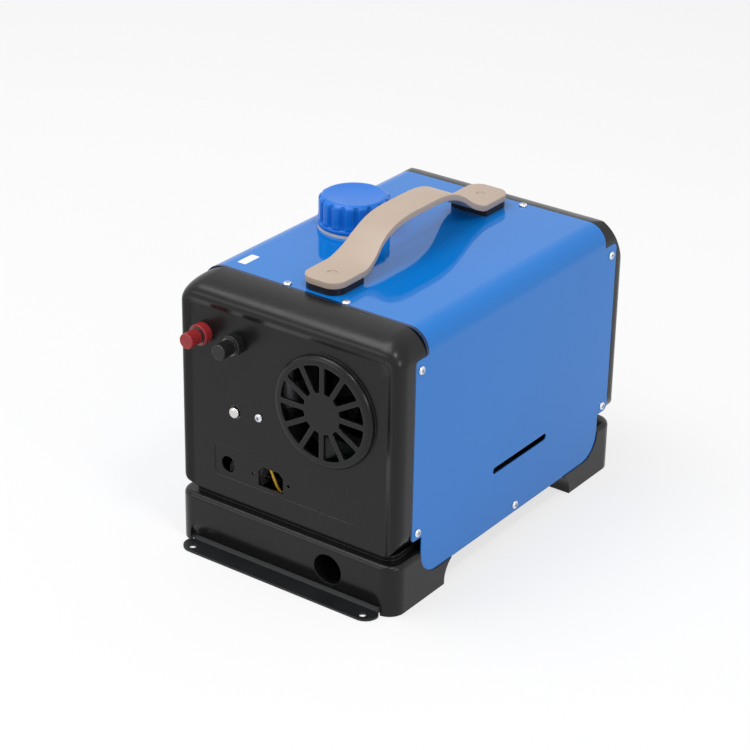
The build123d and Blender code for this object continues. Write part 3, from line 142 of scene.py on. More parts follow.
def addFloor(s):
    bpy.ops.mesh.primitive_plane_add(size=s["floorSize"], location=(0, 0, -s["floorDrop"]))
    floor = bpy.context.object
    floor.name = "studioFloor"
    material = bpy.data.materials.new("paleFloor")
    material.use_nodes = True
    tree = material.node_tree
    tree.nodes.clear()
    matt = tree.nodes.new("ShaderNodeBsdfDiffuse")
    matt.inputs["Color"].default_value = s["floorColour"]
    lit = tree.nodes.new("ShaderNodeEmission")
    lit.inputs["Strength"].default_value = s["backdropStrength"]
    share = mathNode(tree, "MULTIPLY", (seenDirectly(tree), s["floorOwnLight"]))
    out = tree.nodes.new("ShaderNodeOutputMaterial")
    tree.links.new(mixShaders(tree, share, matt.outputs[0], lit.outputs[0]), out.inputs["Surface"])
    floor.data.materials.append(material)


def addLamp(lamp):
    data = bpy.data.lights.new(lamp["name"], "AREA")
    data.shape = "SQUARE"
    data.size = lamp["size"]
    data.energy = lamp["watts"]
    holder = bpy.data.objects.new(lamp["name"], data)
    holder.location = lamp["place"]
    aim = Vector(lamp["aim"]) - Vector(lamp["place"])
    holder.rotation_mode = "QUATERNION"
    holder.rotation_quaternion = aim.to_track_quat("-Z", "Y")
    bpy.context.scene.collection.objects.link(holder)


addWorld(studioSettings)
addFloor(studioSettings)
for lamp in studioSettings["lamps"]:
    addLamp(lamp)
bpy.context.scene.view_settings.view_transform = "Standard"
print("camera, floor and lamps placed")

# finishes: noiseSpan is where most of a noise's values lie; flatLean is the cosine that counts as flat
shaderSettings = {"noiseSpan": (0.3, 0.7), "flatLean": 0.995, "bevelSamples": 6}


def startFinish(name):
    material = bpy.data.materials.new(name)
    material.use_nodes = True
    tree = material.node_tree
    tree.nodes.clear()
    shader = tree.nodes.new("ShaderNodeBsdfPrincipled")
    out = tree.nodes.new("ShaderNodeOutputMaterial")
    tree.links.new(shader.outputs[0], out.inputs["Surface"])
    return material, tree, shader


def noise(tree, scale, detail, stretch=None):
    coords = tree.nodes.new("ShaderNodeTexCoord")
    texture = tree.nodes.new("ShaderNodeTexNoise")
    texture.inputs["Scale"].default_value = scale
    texture.inputs["Detail"].default_value = detail
    source = coords.outputs["Object"]
    if stretch:
        mapping = tree.nodes.new("ShaderNodeMapping")
        mapping.inputs["Scale"].default_value = stretch
        tree.links.new(source, mapping.inputs["Vector"])
        source = mapping.outputs["Vector"]
    tree.links.new(source, texture.inputs["Vector"])
    return texture.outputs["Fac"]


def ramp(tree, source, low, high):
    node = tree.nodes.new("ShaderNodeValToRGB")
    ends = zip(node.color_ramp.elements, shaderSettings["noiseSpan"], (low, high))
    for element, position, colour in ends:
        element.position = position
        element.color = colour
    tree.links.new(source, node.inputs["Fac"])
    return node.outputs["Color"]


def mapRange(tree, source, start, end, low, high):
    node = tree.nodes.new("ShaderNodeMapRange")
    for name, value in (("From Min", start), ("From Max", end), ("To Min", low), ("To Max", high)):
        node.inputs[name].default_value = value
    tree.links.new(source, node.inputs["Value"])
    return node.outputs["Result"]


def spread(tree, source, low, high):
    return mapRange(tree, source, *shaderSettings["noiseSpan"], low, high)


def roundedEdges(tree, radius):
    node = tree.nodes.new("ShaderNodeBevel")
    node.samples = shaderSettings["bevelSamples"]
    node.inputs["Radius"].default_value = radius
    return node.outputs["Normal"]


def edgeMask(tree, edges, lean):
    # 1 on a sharp edge, 0 on the flat, from how far the rounded normal leans over
    geometry = tree.nodes.new("ShaderNodeNewGeometry")
    dot = tree.nodes.new("ShaderNodeVectorMath")
    dot.operation = "DOT_PRODUCT"
    tree.links.new(edges, dot.inputs[0])
    tree.links.new(geometry.outputs["Normal"], dot.inputs[1])
    return mapRange(tree, dot.outputs["Value"], shaderSettings["flatLean"], lean, 0, 1)


def bump(tree, height, depth, edges):
    node = tree.nodes.new("ShaderNodeBump")
    node.inputs["Strength"].default_value = 1
    node.inputs["Distance"].default_value = depth
    tree.links.new(height, node.inputs["Height"])
    if edges:
        tree.links.new(edges, node.inputs["Normal"])
    return node.outputs["Normal"]


def tone(colour, factor):
    return tuple(min(1.0, c * factor) for c in colour[:3]) + (1,)


def addWearAndPaintedLight(tree, colour, wear, mask, breakUp):
    # where the mask and the break-up noise are both high, the edge colour takes over: wear on some
    # finishes, painted light on others (a painted highlight on the black moulding, painted shade on the
    # blue paint, its seams and the zinc)
    markShare = mathNode(tree, "MULTIPLY", (mask, breakUp))
    mix = tree.nodes.new("ShaderNodeMix")
    mix.data_type = "RGBA"
    tree.links.new(markShare, mix.inputs["Factor"])
    tree.links.new(colour, mix.inputs["A"])
    mix.inputs["B"].default_value = wear + (1,)
    return mix.outputs["Result"]


def seamEdgesAndPaintedShadow(tree, colour, s):
    # painted shadow where the sheet's cut edges in front meet the covers, over the dark cut edge itself:
    # each seam is a y, half its width, its lowest and its highest z
    coords = tree.nodes.new("ShaderNodeTexCoord")
    split = tree.nodes.new("ShaderNodeSeparateXYZ")
    tree.links.new(coords.outputs["Object"], split.inputs[0])
    for y, halfWidth, low, high in s["seams"]:
        beside = mathNode(tree, "COMPARE", (split.outputs["Y"], y, halfWidth))
        within = mathNode(tree, "COMPARE", (split.outputs["Z"], (low + high) / 2, (high - low) / 2))
        colour = addWearAndPaintedLight(tree, colour, s["wearColour"], beside, within)
    return colour


# what a finish has unless its own settings say otherwise
finishDefaults = {
    "variation": 0.12, "mottleScale": 18, "mottleDetail": 4, "stretch": None,
    "patchScale": 45, "patchDetail": 3, "grainScale": 1500, "grainDetail": 2, "grainDepth": 0.00002,
    "edge": 0, "wear": 0, "wearLeast": 0, "wearWidth": 0, "wearLean": 0.88,
    "scuffScale": 240, "scuffDetail": 5, "seams": (),
    "metal": 0, "ior": 1.5, "coat": 0, "coatRoughness": 0.03, "subsurface": 0, "subsurfaceScale": 0.003,
}


def makeFinish(name, given):
    # mottled colour, uneven roughness, fine grain, rounded edges and a band along them that is wear on some
    # finishes and painted light on others
    s = finishDefaults | given
    material, tree, shader = startFinish(name)
    mottle = noise(tree, s["mottleScale"], s["mottleDetail"], s["stretch"])
    dark, light = tone(s["colour"], 1 - s["variation"]), tone(s["colour"], 1 + s["variation"])
    colour = ramp(tree, mottle, dark, light)
    edges = roundedEdges(tree, s["edge"]) if s["edge"] else None
    if edges and s["wear"]:
        breakUp = spread(tree, noise(tree, s["scuffScale"], s["scuffDetail"]), s["wearLeast"], s["wear"])
        edgeBandNormals = roundedEdges(tree, s["wearWidth"]) if s["wearWidth"] else edges
        colour = addWearAndPaintedLight(tree, colour, s["wearColour"], edgeMask(tree, edgeBandNormals, s["wearLean"]), breakUp)
    if s["seams"]:
        colour = seamEdgesAndPaintedShadow(tree, colour, s)
    tree.links.new(colour, shader.inputs["Base Color"])
    patches = noise(tree, s["patchScale"], s["patchDetail"], s["stretch"])
    tree.links.new(spread(tree, patches, *s["roughness"]), shader.inputs["Roughness"])
    grain = noise(tree, s["grainScale"], s["grainDetail"], s["stretch"])
    tree.links.new(bump(tree, grain, s["grainDepth"], edges), shader.inputs["Normal"])
    uniform = {
        "Metallic": "metal", "IOR": "ior", "Coat Weight": "coat", "Coat Roughness": "coatRoughness",
        "Subsurface Weight": "subsurface", "Subsurface Scale": "subsurfaceScale",
    }
    for socket, key in uniform.items():
        shader.inputs[socket].default_value = s[key]
    return material


finishSettings = {
    # the lighter edge colour here is a painted highlight along the moulding's rims and creases
    "satinBlackMoulding": {
        "colour": (0.0065, 0.0065, 0.007), "roughness": (0.23, 0.3), "mottleScale": 9,
        "grainScale": 900, "ior": 1.34, "edge": 0.0012, "wear": 0.6, "wearColour": (0.06, 0.06, 0.06),
    },
    # the dark navy edge colour and the seams are painted shadow along the sheet's cut edges, where it meets
    # the covers, over the dark cut edge itself
    "bluePaint": {
        "colour": (0.001, 0.165, 0.56), "variation": 0.03, "roughness": (0.045, 0.07), "mottleScale": 4,
        "grainScale": 120, "grainDepth": 0.000006, "ior": 1.41, "edge": 0.0004,
        "wear": 1.0, "wearLeast": 0.8, "wearWidth": 0.001, "wearColour": (0.001, 0.02, 0.07),
        "seams": ((-0.148, 0.0034, 0.2415, 0.265), (-0.1655, 0.0024, 0.06, 0.2415)),
    },
    "blackCoatedSteel": {
        "colour": (0.009, 0.0105, 0.0115), "roughness": (0.36, 0.46), "grainScale": 2200,
        "grainDepth": 0.00003, "ior": 1.38, "edge": 0.0005, "wear": 0.5, "wearColour": (0.1, 0.1, 0.1),
    },
    "tanStrap": {
        "colour": (0.437, 0.342, 0.272), "variation": 0.035, "roughness": (0.42, 0.52), "grainScale": 2400,
        "edge": 0.0006, "wear": 0.6, "wearWidth": 0.0012, "wearColour": (0.58, 0.48, 0.4),
        "subsurface": 0.06,
    },
    "blackRubber": {
        "colour": (0.007, 0.007, 0.0075), "variation": 0.15, "roughness": (0.3, 0.4), "grainScale": 1800,
        "grainDepth": 0.00003, "ior": 1.4, "edge": 0.0008,
    },
    # the tank is painted nearly black: painted shade inside the casing
    "tankPlastic": {
        "colour": (0.010, 0.013, 0.013), "variation": 0.1, "roughness": (0.4, 0.5), "grainScale": 900,
        "ior": 1.4, "edge": 0.001,
    },
    "whitePlastic": {
        "colour": (0.6, 0.59, 0.58), "variation": 0.03, "roughness": (0.22, 0.32), "edge": 0.0004,
    },
    "bluePlastic": {
        "colour": (0.0012, 0.155, 0.62), "variation": 0.05, "roughness": (0.28, 0.36), "grainScale": 1400,
        "ior": 1.38, "subsurface": 0.05, "edge": 0.0003, "wear": 0.35, "wearColour": (0.03, 0.26, 0.72),
    },
    "redPlastic": {
        "colour": (0.295, 0.02, 0.024), "variation": 0.08, "roughness": (0.34, 0.44), "ior": 1.42,
        "edge": 0.0003, "wear": 0.4, "wearColour": (0.42, 0.08, 0.08),
    },
    "postBlack": {
        "colour": (0.009, 0.009, 0.0095), "variation": 0.1, "roughness": (0.3, 0.4), "ior": 1.42,
        "edge": 0.0003, "wear": 0.4, "wearColour": (0.06, 0.06, 0.06),
    },
    "nickelPlate": {
        "colour": (0.66, 0.65, 0.63), "variation": 0.06, "roughness": (0.1, 0.2), "mottleScale": 160,
        "metal": 1, "edge": 0.0002,
    },
    "turnedBrass": {
        "colour": (0.72, 0.52, 0.24), "variation": 0.08, "roughness": (0.25, 0.35), "metal": 1,
        "edge": 0.0002,
    },
    # the dark edge colour on the zinc is painted shade in the screws' cross recesses and round their heads
    "zincPlate": {
        "colour": (0.72, 0.75, 0.8), "variation": 0.08, "roughness": (0.16, 0.26), "mottleScale": 200,
        "metal": 1, "edge": 0.0002, "wear": 1.0, "wearLeast": 0.7, "wearWidth": 0.0008, "wearLean": 0.9,
        "wearColour": (0.16, 0.17, 0.19),
    },
    # a darker copy of the nickel: painted shade on the washers under the knobs
    "dullNickel": {
        "colour": (0.16, 0.155, 0.15), "variation": 0.1, "roughness": (0.3, 0.42), "mottleScale": 160,
        "metal": 1, "edge": 0.0002,
    },
    "unitPlastic": {
        "colour": (0.012, 0.012, 0.013), "variation": 0.15, "roughness": (0.5, 0.62),
        "grainDepth": 0.00004, "ior": 1.4, "edge": 0.0008,
    },
    # the drawn steel is painted dark: painted shade inside the casing
    "drawnSteel": {
        "colour": (0.2, 0.2, 0.21), "roughness": (0.42, 0.55), "stretch": (1, 12, 1), "metal": 1,
        "edge": 0.0004,
    },
    "diecastAluminium": {
        "colour": (0.5, 0.5, 0.51), "roughness": (0.45, 0.6), "grainScale": 700, "grainDepth": 0.0001,
        "metal": 1, "edge": 0.0006, "wear": 0.5, "wearColour": (0.7, 0.7, 0.7),
    },
    "heatTintedSteel": {
        "colour": (0.42, 0.36, 0.3), "variation": 0.25, "roughness": (0.3, 0.45), "metal": 1,
        "edge": 0.0004,
    },
    "fibreGasket": {
        "colour": (0.3, 0.28, 0.26), "variation": 0.2, "roughness": (0.8, 0.95), "grainScale": 500,
        "grainDepth": 0.0002,
    },
    "fuelHose": {
        "colour": (0.02, 0.02, 0.021), "variation": 0.15, "roughness": (0.4, 0.5), "grainDepth": 0.00003,
    },
    # the board's green is painted dark: painted shade inside the casing
    "greenBoard": {
        "colour": (0.004, 0.032, 0.024), "variation": 0.4, "roughness": (0.2, 0.36), "mottleScale": 150,
        "ior": 1.42, "coat": 0.1,
    },
    "orangeLead": {"colour": (0.75, 0.17, 0.012), "variation": 0.08, "roughness": (0.35, 0.45)},
    "yellowLead": {"colour": (0.62, 0.36, 0.02), "variation": 0.08, "roughness": (0.35, 0.45)},
    "paperSticker": {
        "colour": (0.82, 0.82, 0.81), "variation": 0.02, "roughness": (0.5, 0.6), "grainDepth": 0.00001,
    },
}
finishes = {name: makeFinish(name, s) for name, s in finishSettings.items()}

slotFinishes = {
    "black_shell": "satinBlackMoulding", "blue_sheet": "bluePaint", "zinc": "zincPlate",
    "black_steel": "blackCoatedSteel", "tan_strap": "tanStrap", "black_rubber": "blackRubber",
    "tank_plastic": "tankPlastic", "white_plastic": "whitePlastic", "blue_plastic": "bluePlastic",
    "red_plastic": "redPlastic", "post_black": "postBlack", "nickel": "nickelPlate", "brass": "turnedBrass",
    "unit_plastic": "unitPlastic", "steel": "drawnSteel", "casting": "diecastAluminium",
    "hot_steel": "heatTintedSteel", "gasket": "fibreGasket", "hose": "fuelHose", "board": "greenBoard",
    "orange_wire": "orangeLead", "yellow_wire": "yellowLead",
}
finishOfNode = {part["node"]: slotFinishes[part["material_slot"]] for part in frame["record"]["subparts"]}
# the washers stand in the shade of the knobs, so their nickel is painted darker: painted shade
for name in ("red_post_washer", "black_post_washer"):
    finishOfNode[name] = "dullNickel"
for name, node in nodes.items():
    node.data.materials.clear()
    node.data.materials.append(finishes[finishOfNode[name]])
print("finishes on all", len(nodes), "nodes")


# modelling helpers: a piece is shaped in world coordinates, with its object at the origin
def freshStart():
    if bpy.context.object and bpy.context.object.mode != "OBJECT":
        bpy.ops.object.mode_set(mode="OBJECT")
    bpy.ops.object.select_all(action="DESELECT")


def takeUp(piece):
    # makes the piece the active object and the only selected one
    freshStart()
    piece.select_set(True)
    bpy.context.view_layer.objects.active = piece


def settle():
    bpy.ops.object.transform_apply(location=True, rotation=True, scale=True)
    return bpy.context.object


def editAll():
    bpy.ops.object.mode_set(mode="EDIT")
    bpy.ops.mesh.select_all(action="SELECT")


def faceOutwards():
    # evens out the normals of a closed form and leaves edit mode
    bpy.ops.mesh.select_all(action="SELECT")
    bpy.ops.mesh.normals_make_consistent(inside=False)
    bpy.ops.object.mode_set(mode="OBJECT")


def pick(kind, test):
    bpy.ops.mesh.select_mode(type=kind)
    bpy.ops.mesh.select_all(action="DESELECT")
    mesh = bmesh.from_edit_mesh(bpy.context.object.data)
    for item in {"VERT": mesh.verts, "FACE": mesh.faces}[kind]:
        if test(item):
            item.select_set(True)
    mesh.select_flush_mode()
    bmesh.update_edit_mesh(bpy.context.object.data)


def drawIn(ratio):
    # moves what is picked towards the Z axis
    bpy.ops.transform.resize(value=(ratio, ratio, 1), center_override=(0, 0, 0))


def extrudeTo(step, stretch, centre):
    # pulls the selected end out by step, then widens or narrows it about centre
    bpy.ops.mesh.extrude_region_move(TRANSFORM_OT_translate={"value": step})
    bpy.ops.transform.resize(value=stretch, center_override=centre)


def turned(rings, sides):
    # a turned piece along +Z: each ring is a radius and a height, the first and last are closed
    freshStart()
    radius, height = rings[0]
    place = (0, 0, height)
    bpy.ops.mesh.primitive_circle_add(vertices=sides, radius=radius, fill_type="NGON", location=place)
    piece = settle()
    editAll()
    for nextRadius, nextHeight in rings[1:]:
        ratio = nextRadius / radius
        extrudeTo((0, 0, nextHeight - height), (ratio, ratio, 1), (0, 0, nextHeight))
        radius, height = nextRadius, nextHeight
    faceOutwards()
    return piece


def ringSpot(vertex, sides):
    # which side of the turned piece a vertex stands on, counted round from +Y as Blender's circle does
    return round(atan2(-vertex.co.x, vertex.co.y) / (2 * pi) * sides) % sides


def smoothStep(t):
    return t * t * (3 - 2 * t)


def withModifier(piece, kind, values):
    modifier = piece.modifiers.new(kind.lower(), kind)
    for key, value in values.items():
        setattr(modifier, key, value)
    takeUp(piece)
    bpy.ops.object.modifier_apply(modifier=modifier.name)


def carve(piece, cutter):
    withModifier(piece, "BOOLEAN", {"operation": "DIFFERENCE", "object": cutter, "solver": "EXACT"})
    bpy.data.objects.remove(cutter)


def finishPiece(piece, name, finish, body, replaced=(), smooth=40):
    takeUp(piece)
    bpy.ops.object.shade_smooth_by_angle(angle=radians(smooth))
    piece.name = piece.data.name = name
    piece.data.materials.clear()
    piece.data.materials.append(finishes[finish])
    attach(piece, body)
    if replaced:
        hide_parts(*replaced)
    return piece


def copyTo(piece, matrix):
    twin = piece.copy()
    twin.data = piece.data.copy()
    twin.data.transform(matrix)
    bpy.context.scene.collection.objects.link(twin)
    return twin


def moveTo(piece, place, turn=Matrix.Identity(4)):
    piece.data.transform(Matrix.Translation(place) @ turn)


towardsFront = Matrix.Rotation(radians(90), 4, "X")  # turns +Z to -Y
upwards = Matrix.Identity(4)
downwards = Matrix.Rotation(radians(180), 4, "X")

# front cover: the CAD form with its two upper corners drawn over in one smooth sweep
coverSettings = {
    "rim": -0.1865, "half": 0.1216, "top": 0.2634, "corner": 0.024,
    "topRoll": (0.038, 0.0145), "sideRoll": (0.013, 0.0075),
    "formHalf": 0.116108, "formTop": 0.251572, "formCorner": 0.027,
    "pocket": (0.113, 0.2465), "pocketCorner": 0.022, "pocketDepth": 0.0026,
    "squareness": 5.5, "squareFrom": 0.7,
    "areaX": 0.086, "areaZ": 0.218, "areaDepth": 0.0384,
    "skin": 0.0009, "slack": 0.0002, "rimSlack": 0.00005, "sameSpot": 0.000002, "closeSpot": 0.00002,
    "angleStep": 6,
    "depths": (0.0001, 0.0003, 0.0006, 0.001, 0.0015, 0.0022, 0.003, 0.004, 0.0052, 0.0066, 0.0082, 0.01,
               0.0122, 0.0148, 0.0176, 0.0206, 0.024, 0.0275, 0.0315, 0.0355),
}


def ovalDrop(roll, depth):
    # how far in from its outline the rolled edge stands at this depth
    long, drop = roll
    left = 1 - min(max(depth, 0), long) / long
    return drop * (1 - sqrt(1 - left**2))


def coverReach(s, x, depth, z):
    # how far a point stands outside the CAD's corner: its largest distance from the four forms that cut it
    inX, inZ = s["half"] - s["corner"], s["top"] - s["corner"]
    if x > inX and z > inZ:
        outline = sqrt((x - inX) ** 2 + (z - inZ) ** 2) - s["corner"]
    else:
        outline = max(x - s["half"], z - s["top"])
    over = z - s["top"] + ovalDrop(s["topRoll"], depth)
    beside = x - s["half"] + ovalDrop(s["sideRoll"], depth)
    coneX, coneZ = s["formHalf"] - s["formCorner"], s["formTop"] - s["formCorner"]
    if x > coneX and z > coneZ:
        cone = (sqrt((x - coneX) ** 2 + (z - coneZ) ** 2) - s["formCorner"] - depth) / sqrt(2)
    else:
        cone = -1  # the cone doesn't reach this far
    return max(outline, over, beside, cone)


def sweptCorner(s, x, depth, z):
    # the same spot on a rolled edge that changes evenly from the side's section to the top's
    inX, inZ = s["half"] - s["corner"], s["top"] - s["corner"]
    if x <= inX and z <= inZ:
        return x, z
    turn = atan2(max(z - inZ, 0), max(x - inX, 0)) / (pi / 2)
    share = smoothStep(turn)
    roll = [low + (high - low) * share for low, high in zip(s["sideRoll"], s["topRoll"])]
    reach = s["corner"] - ovalDrop(roll, depth)
    newX = inX + reach * cos(turn * pi / 2) if x > inX else x
    newZ = inZ + reach * sin(turn * pi / 2) if z > inZ else z
    return newX, newZ


def pastPocketCentre(s, x, z):
    # how far a spot lies past the centre of the recessed face's round corner, each way
    return x - s["pocket"][0] + s["pocketCorner"], z - s["pocket"][1] + s["pocketCorner"]


def fromPocketCorner(s, x, z):
    fromX, fromZ = pastPocketCentre(s, x, z)
    return sqrt(fromX**2 + fromZ**2) if fromX > 0 and fromZ > 0 else max(fromX, fromZ)


def squaredPocket(s, x, z):
    # the recessed face runs further into its corners than the CAD's round ones
    fromX, fromZ = pastPocketCentre(s, x, z)
    if fromX <= 0 or fromZ <= 0:
        return x, z
    far = fromPocketCorner(s, x, z)
    n = s["squareness"]
    grow = ((fromX / far) ** n + (fromZ / far) ** n) ** (-1 / n)
    grow = 1 + (grow - 1) * min(1, far / (s["pocketCorner"] * s["squareFrom"]))
    return x + fromX * (grow - 1), z + fromZ * (grow - 1)


def depthIn(s, co):
    return co.y - s["rim"]


def onRoll(s, co):
    # on the outline or the rolled edge, as far back as the corners are drawn over
    depth = depthIn(s, co)
    return -s["slack"] < depth < s["areaDepth"] and coverReach(s, abs(co.x), depth, co.z) > -s["skin"]


def inPocket(s, co):
    return depthIn(s, co) < s["pocketDepth"] + s["slack"]


def cutThrough(place, direction):
    bpy.ops.mesh.select_all(action="SELECT")
    bpy.ops.mesh.bisect(plane_co=place, plane_no=direction)


def cutCorners(s):
    # hides all but the two upper corners, and gives these enough rows to bend
    pick("FACE", lambda f: max(v.co.z for v in f.verts) > s["areaZ"]
         and all(onRoll(s, v.co) or inPocket(s, v.co) for v in f.verts))
    bpy.ops.mesh.hide(unselected=True)
    for x in (s["areaX"], -s["areaX"]):
        cutThrough((x, 0, 0), (1, 0, 0))
    cutThrough((0, 0, s["areaZ"]), (0, 0, 1))

    def inCorner(face):
        centre = face.calc_center_median()
        return abs(centre.x) > s["areaX"] and centre.z > s["areaZ"]

    pick("FACE", inCorner)
    bpy.ops.mesh.hide(unselected=True)
    for depth in s["depths"]:
        cutThrough((0, s["rim"] + depth, 0), (0, 1, 0))
    for side in (-1, 1):
        centre = (side * (s["half"] - s["corner"]), 0, s["top"] - s["corner"])
        for degrees in range(0, 91, s["angleStep"]):
            turn = radians(degrees)
            cutThrough(centre, (side * sin(turn), 0, -cos(turn)))


def sweepCorners(s, mesh):
    for vertex in mesh.verts:
        x, depth, z = abs(vertex.co.x), depthIn(s, vertex.co), vertex.co.z
        if vertex.hide or x < s["areaX"] + s["slack"] or z < s["areaZ"] + s["slack"]:
            continue
        side = 1 if vertex.co.x > 0 else -1
        if inPocket(s, vertex.co) and fromPocketCorner(s, x, z) < s["pocketCorner"] + s["slack"]:
            x, z = squaredPocket(s, x, z)
        elif onRoll(s, vertex.co) or depth < s["rimSlack"]:
            x, z = sweptCorner(s, x, max(depth, 0), z)
        vertex.co.x, vertex.co.z = side * x, z


def frontCover(s):
    freshStart()
    piece = copyTo(nodes["front_cover"], Matrix.Identity(4))
    takeUp(piece)
    bpy.ops.mesh.customdata_custom_splitnormals_clear()
    editAll()
    bpy.ops.mesh.remove_doubles(threshold=s["sameSpot"])
    cutCorners(s)
    sweepCorners(s, bmesh.from_edit_mesh(piece.data))
    bmesh.update_edit_mesh(piece.data)
    bpy.ops.mesh.select_all(action="SELECT")
    bpy.ops.mesh.remove_doubles(threshold=s["closeSpot"])
    bpy.ops.mesh.reveal()
    bpy.ops.mesh.select_all(action="DESELECT")
    bpy.ops.object.mode_set(mode="OBJECT")
    return finishPiece(piece, "frontCover", "satinBlackMoulding", "heater",
                       ("front_cover",), smooth=24)


frontCover(coverSettings)
print("front cover")

# filler cap: a low disc with rounded grips standing out round it
capSettings = {
    "place": (-0.0645, -0.0008, 0.2667), "radius": 0.0334,
    "profile": (
        (0.0278, 0.0248), (0.0278, 0.0006), (0.0284, 0), (0.0338, 0), (0.0345, 0.0007), (0.0345, 0.003),
        (0.0341, 0.0036), (0.0337, 0.0041), (0.034, 0.0046), (0.0339, 0.0062), (0.0335, 0.0078),
        (0.0334, 0.0095), (0.0334, 0.0238), (0.0331, 0.0251), (0.0323, 0.0262), (0.0308, 0.0268),
        (0.0302, 0.0272), (0.0297, 0.0278), (0.0289, 0.028), (0.0262, 0.028), (0.0252, 0.0278),
        (0.001, 0.0278),
    ),
    "grips": 16, "spotsPerGrip": 12, "gripDepth": 0.0023,
    "gripInner": 0.0298, "gripLow": 0.0045, "gripHigh": 0.0267,
    "gripSteps": ((0.07, (6, 7, 8, 9, 10, 11, 0)), (0.38, (7, 8, 9, 10, 11)), (0.55, (8, 9, 10))),
}


def fillerCap(s):
    # the gaps between the grips are drawn in step by step, each a share of their depth
    spots = s["spotsPerGrip"]
    sides = s["grips"] * spots
    piece = turned(s["profile"], sides)
    bpy.ops.object.mode_set(mode="EDIT")
    for share, gap in s["gripSteps"]:
        pick("VERT", lambda v: s["gripLow"] < v.co.z < s["gripHigh"]
             and v.co.xy.length > s["gripInner"] and ringSpot(v, sides) % spots in gap)
        drawIn(1 - share * s["gripDepth"] / s["radius"])
    bpy.ops.object.mode_set(mode="OBJECT")
    moveTo(piece, s["place"])
    return finishPiece(piece, "fillerCap", "bluePlastic", "cap", ("fuel_cap",), smooth=45)


fillerCap(capSettings)
print("filler cap")

# tan carrying strap, pulled along its curve row by row
strapSettings = {
    "middle": -0.004, "halfLength": 0.1375, "flat": 0.041, "flatHeight": 0.276, "crownHeight": 0.305,
    "thickness": 0.006, "halfWidth": 0.0165, "endHalfWidth": 0.021, "endRadius": 0.014,
    "endRows": (0, 0.0004, 0.0012, 0.0025, 0.0043, 0.0065, 0.009, 0.0115, 0.014, 0.028), "steps": 28,
    "rise": ((0, 0, 0), (0.17, 0.19, 1.6), (0.36, 0.63, 1.9), (0.62, 0.945, 0.55), (1, 1, 0)),
    "screwInset": 0.0215, "recessRadius": 0.0043, "recessDepth": 0.0011, "recessSides": 48,
    "cutterHeight": 0.01,
    "softEdge": {"width": 0.0015, "segments": 4, "limit_method": "ANGLE", "angle_limit": radians(40)},
}


def strapHeight(s, distance):
    # rise gives points on the curve, each as a share of the length, a share of the height and a slope
    if distance <= s["flat"]:
        return s["flatHeight"]
    along = min(1.0, (distance - s["flat"]) / (s["halfLength"] - s["flat"]))
    for (a, low, slopeA), (b, high, slopeB) in zip(s["rise"], s["rise"][1:]):
        if along <= b:
            t, span = (along - a) / (b - a), b - a
            up = ((2 * t**3 - 3 * t**2 + 1) * low + (t**3 - 2 * t**2 + t) * span * slopeA
                  + (3 * t**2 - 2 * t**3) * high + (t**3 - t**2) * span * slopeB)
            return s["flatHeight"] + up * (s["crownHeight"] - s["flatHeight"])


def strapHalfWidth(s, distance):
    # round at the end, wide along the flat, then narrowing over a stretch as long as the flat
    wide, slim, corner = s["endHalfWidth"], s["halfWidth"], s["endRadius"]
    if distance < corner:
        return wide - corner + sqrt(corner**2 - (corner - distance) ** 2)
    t = min(1.0, max(0.0, (distance - s["flat"]) / s["flat"]))
    return wide + (slim - wide) * smoothStep(t)


def strapScrewY(s, side):
    return s["middle"] + side * (s["halfLength"] - s["screwInset"])


def strapPlaces(s):
    # the y of each row, and its distance from the nearer end
    rows = list(s["endRows"])
    rows += [s["flat"] + (s["halfLength"] - s["flat"]) * i / s["steps"] for i in range(s["steps"] + 1)]
    start = s["middle"] - s["halfLength"]
    places = [(start + d, d) for d in rows]
    return places + [(2 * s["middle"] - y, d) for y, d in reversed(places[:-1])]


def carryStrap(s):
    places = strapPlaces(s)
    y = places[0][0]
    half, height = strapHalfWidth(s, 0), s["flatHeight"] - s["thickness"] / 2
    freshStart()
    bpy.ops.mesh.primitive_plane_add(size=1, location=(0, y, height), rotation=(pi / 2, 0, 0))
    bpy.context.object.scale = (2 * half, s["thickness"], 1)
    piece = settle()
    editAll()
    for nextY, distance in places[1:]:
        nextHeight = strapHeight(s, distance) - s["thickness"] / 2
        nextHalf = strapHalfWidth(s, distance)
        extrudeTo((0, nextY - y, nextHeight - height), (nextHalf / half, 1, 1), (0, nextY, nextHeight))
        y, height, half = nextY, nextHeight, nextHalf
    faceOutwards()
    for side in (-1, 1):
        cutter = turned(((s["recessRadius"], 0), (s["recessRadius"], s["cutterHeight"])), s["recessSides"])
        moveTo(cutter, (0, strapScrewY(s, side), s["flatHeight"] - s["recessDepth"]))
        carve(piece, cutter)
    withModifier(piece, "BEVEL", s["softEdge"])
    return finishPiece(piece, "carryStrap", "tanStrap", "heater", ("handle",), smooth=50)


# the bolt through each end of the strap, with its plate and nut under the sheet
boltSettings = {
    "sides": 36,
    "profile": (
        (0.0025, 0.2544), (0.0025, 0.2584), (0.0044, 0.2584), (0.0044, 0.2614), (0.009, 0.2614),
        (0.009, 0.2624), (0.0025, 0.2624), (0.0025, 0.2738), (0.004, 0.2738), (0.004, 0.2746),
        (0.0036, 0.2748),
    ),
}


def strapBolt(s, name, y):
    piece = turned(s["profile"], s["sides"])
    moveTo(piece, (0, y, 0))
    return finishPiece(piece, name, "zincPlate", "heater", ("handle_screws",))


# the tan plug that hides the bolt, with a small ring groove in its top
plugSettings = {
    "sides": 36,
    "profile": ((0.004, 0.2748), (0.004, 0.2753), (0.0037, 0.2756), (0.003, 0.27575), (0.0008, 0.2758)),
    "groove": {"major_radius": 0.0019, "minor_radius": 0.0004, "major_segments": 32, "minor_segments": 8},
    "grooveHeight": 0.2758,
}


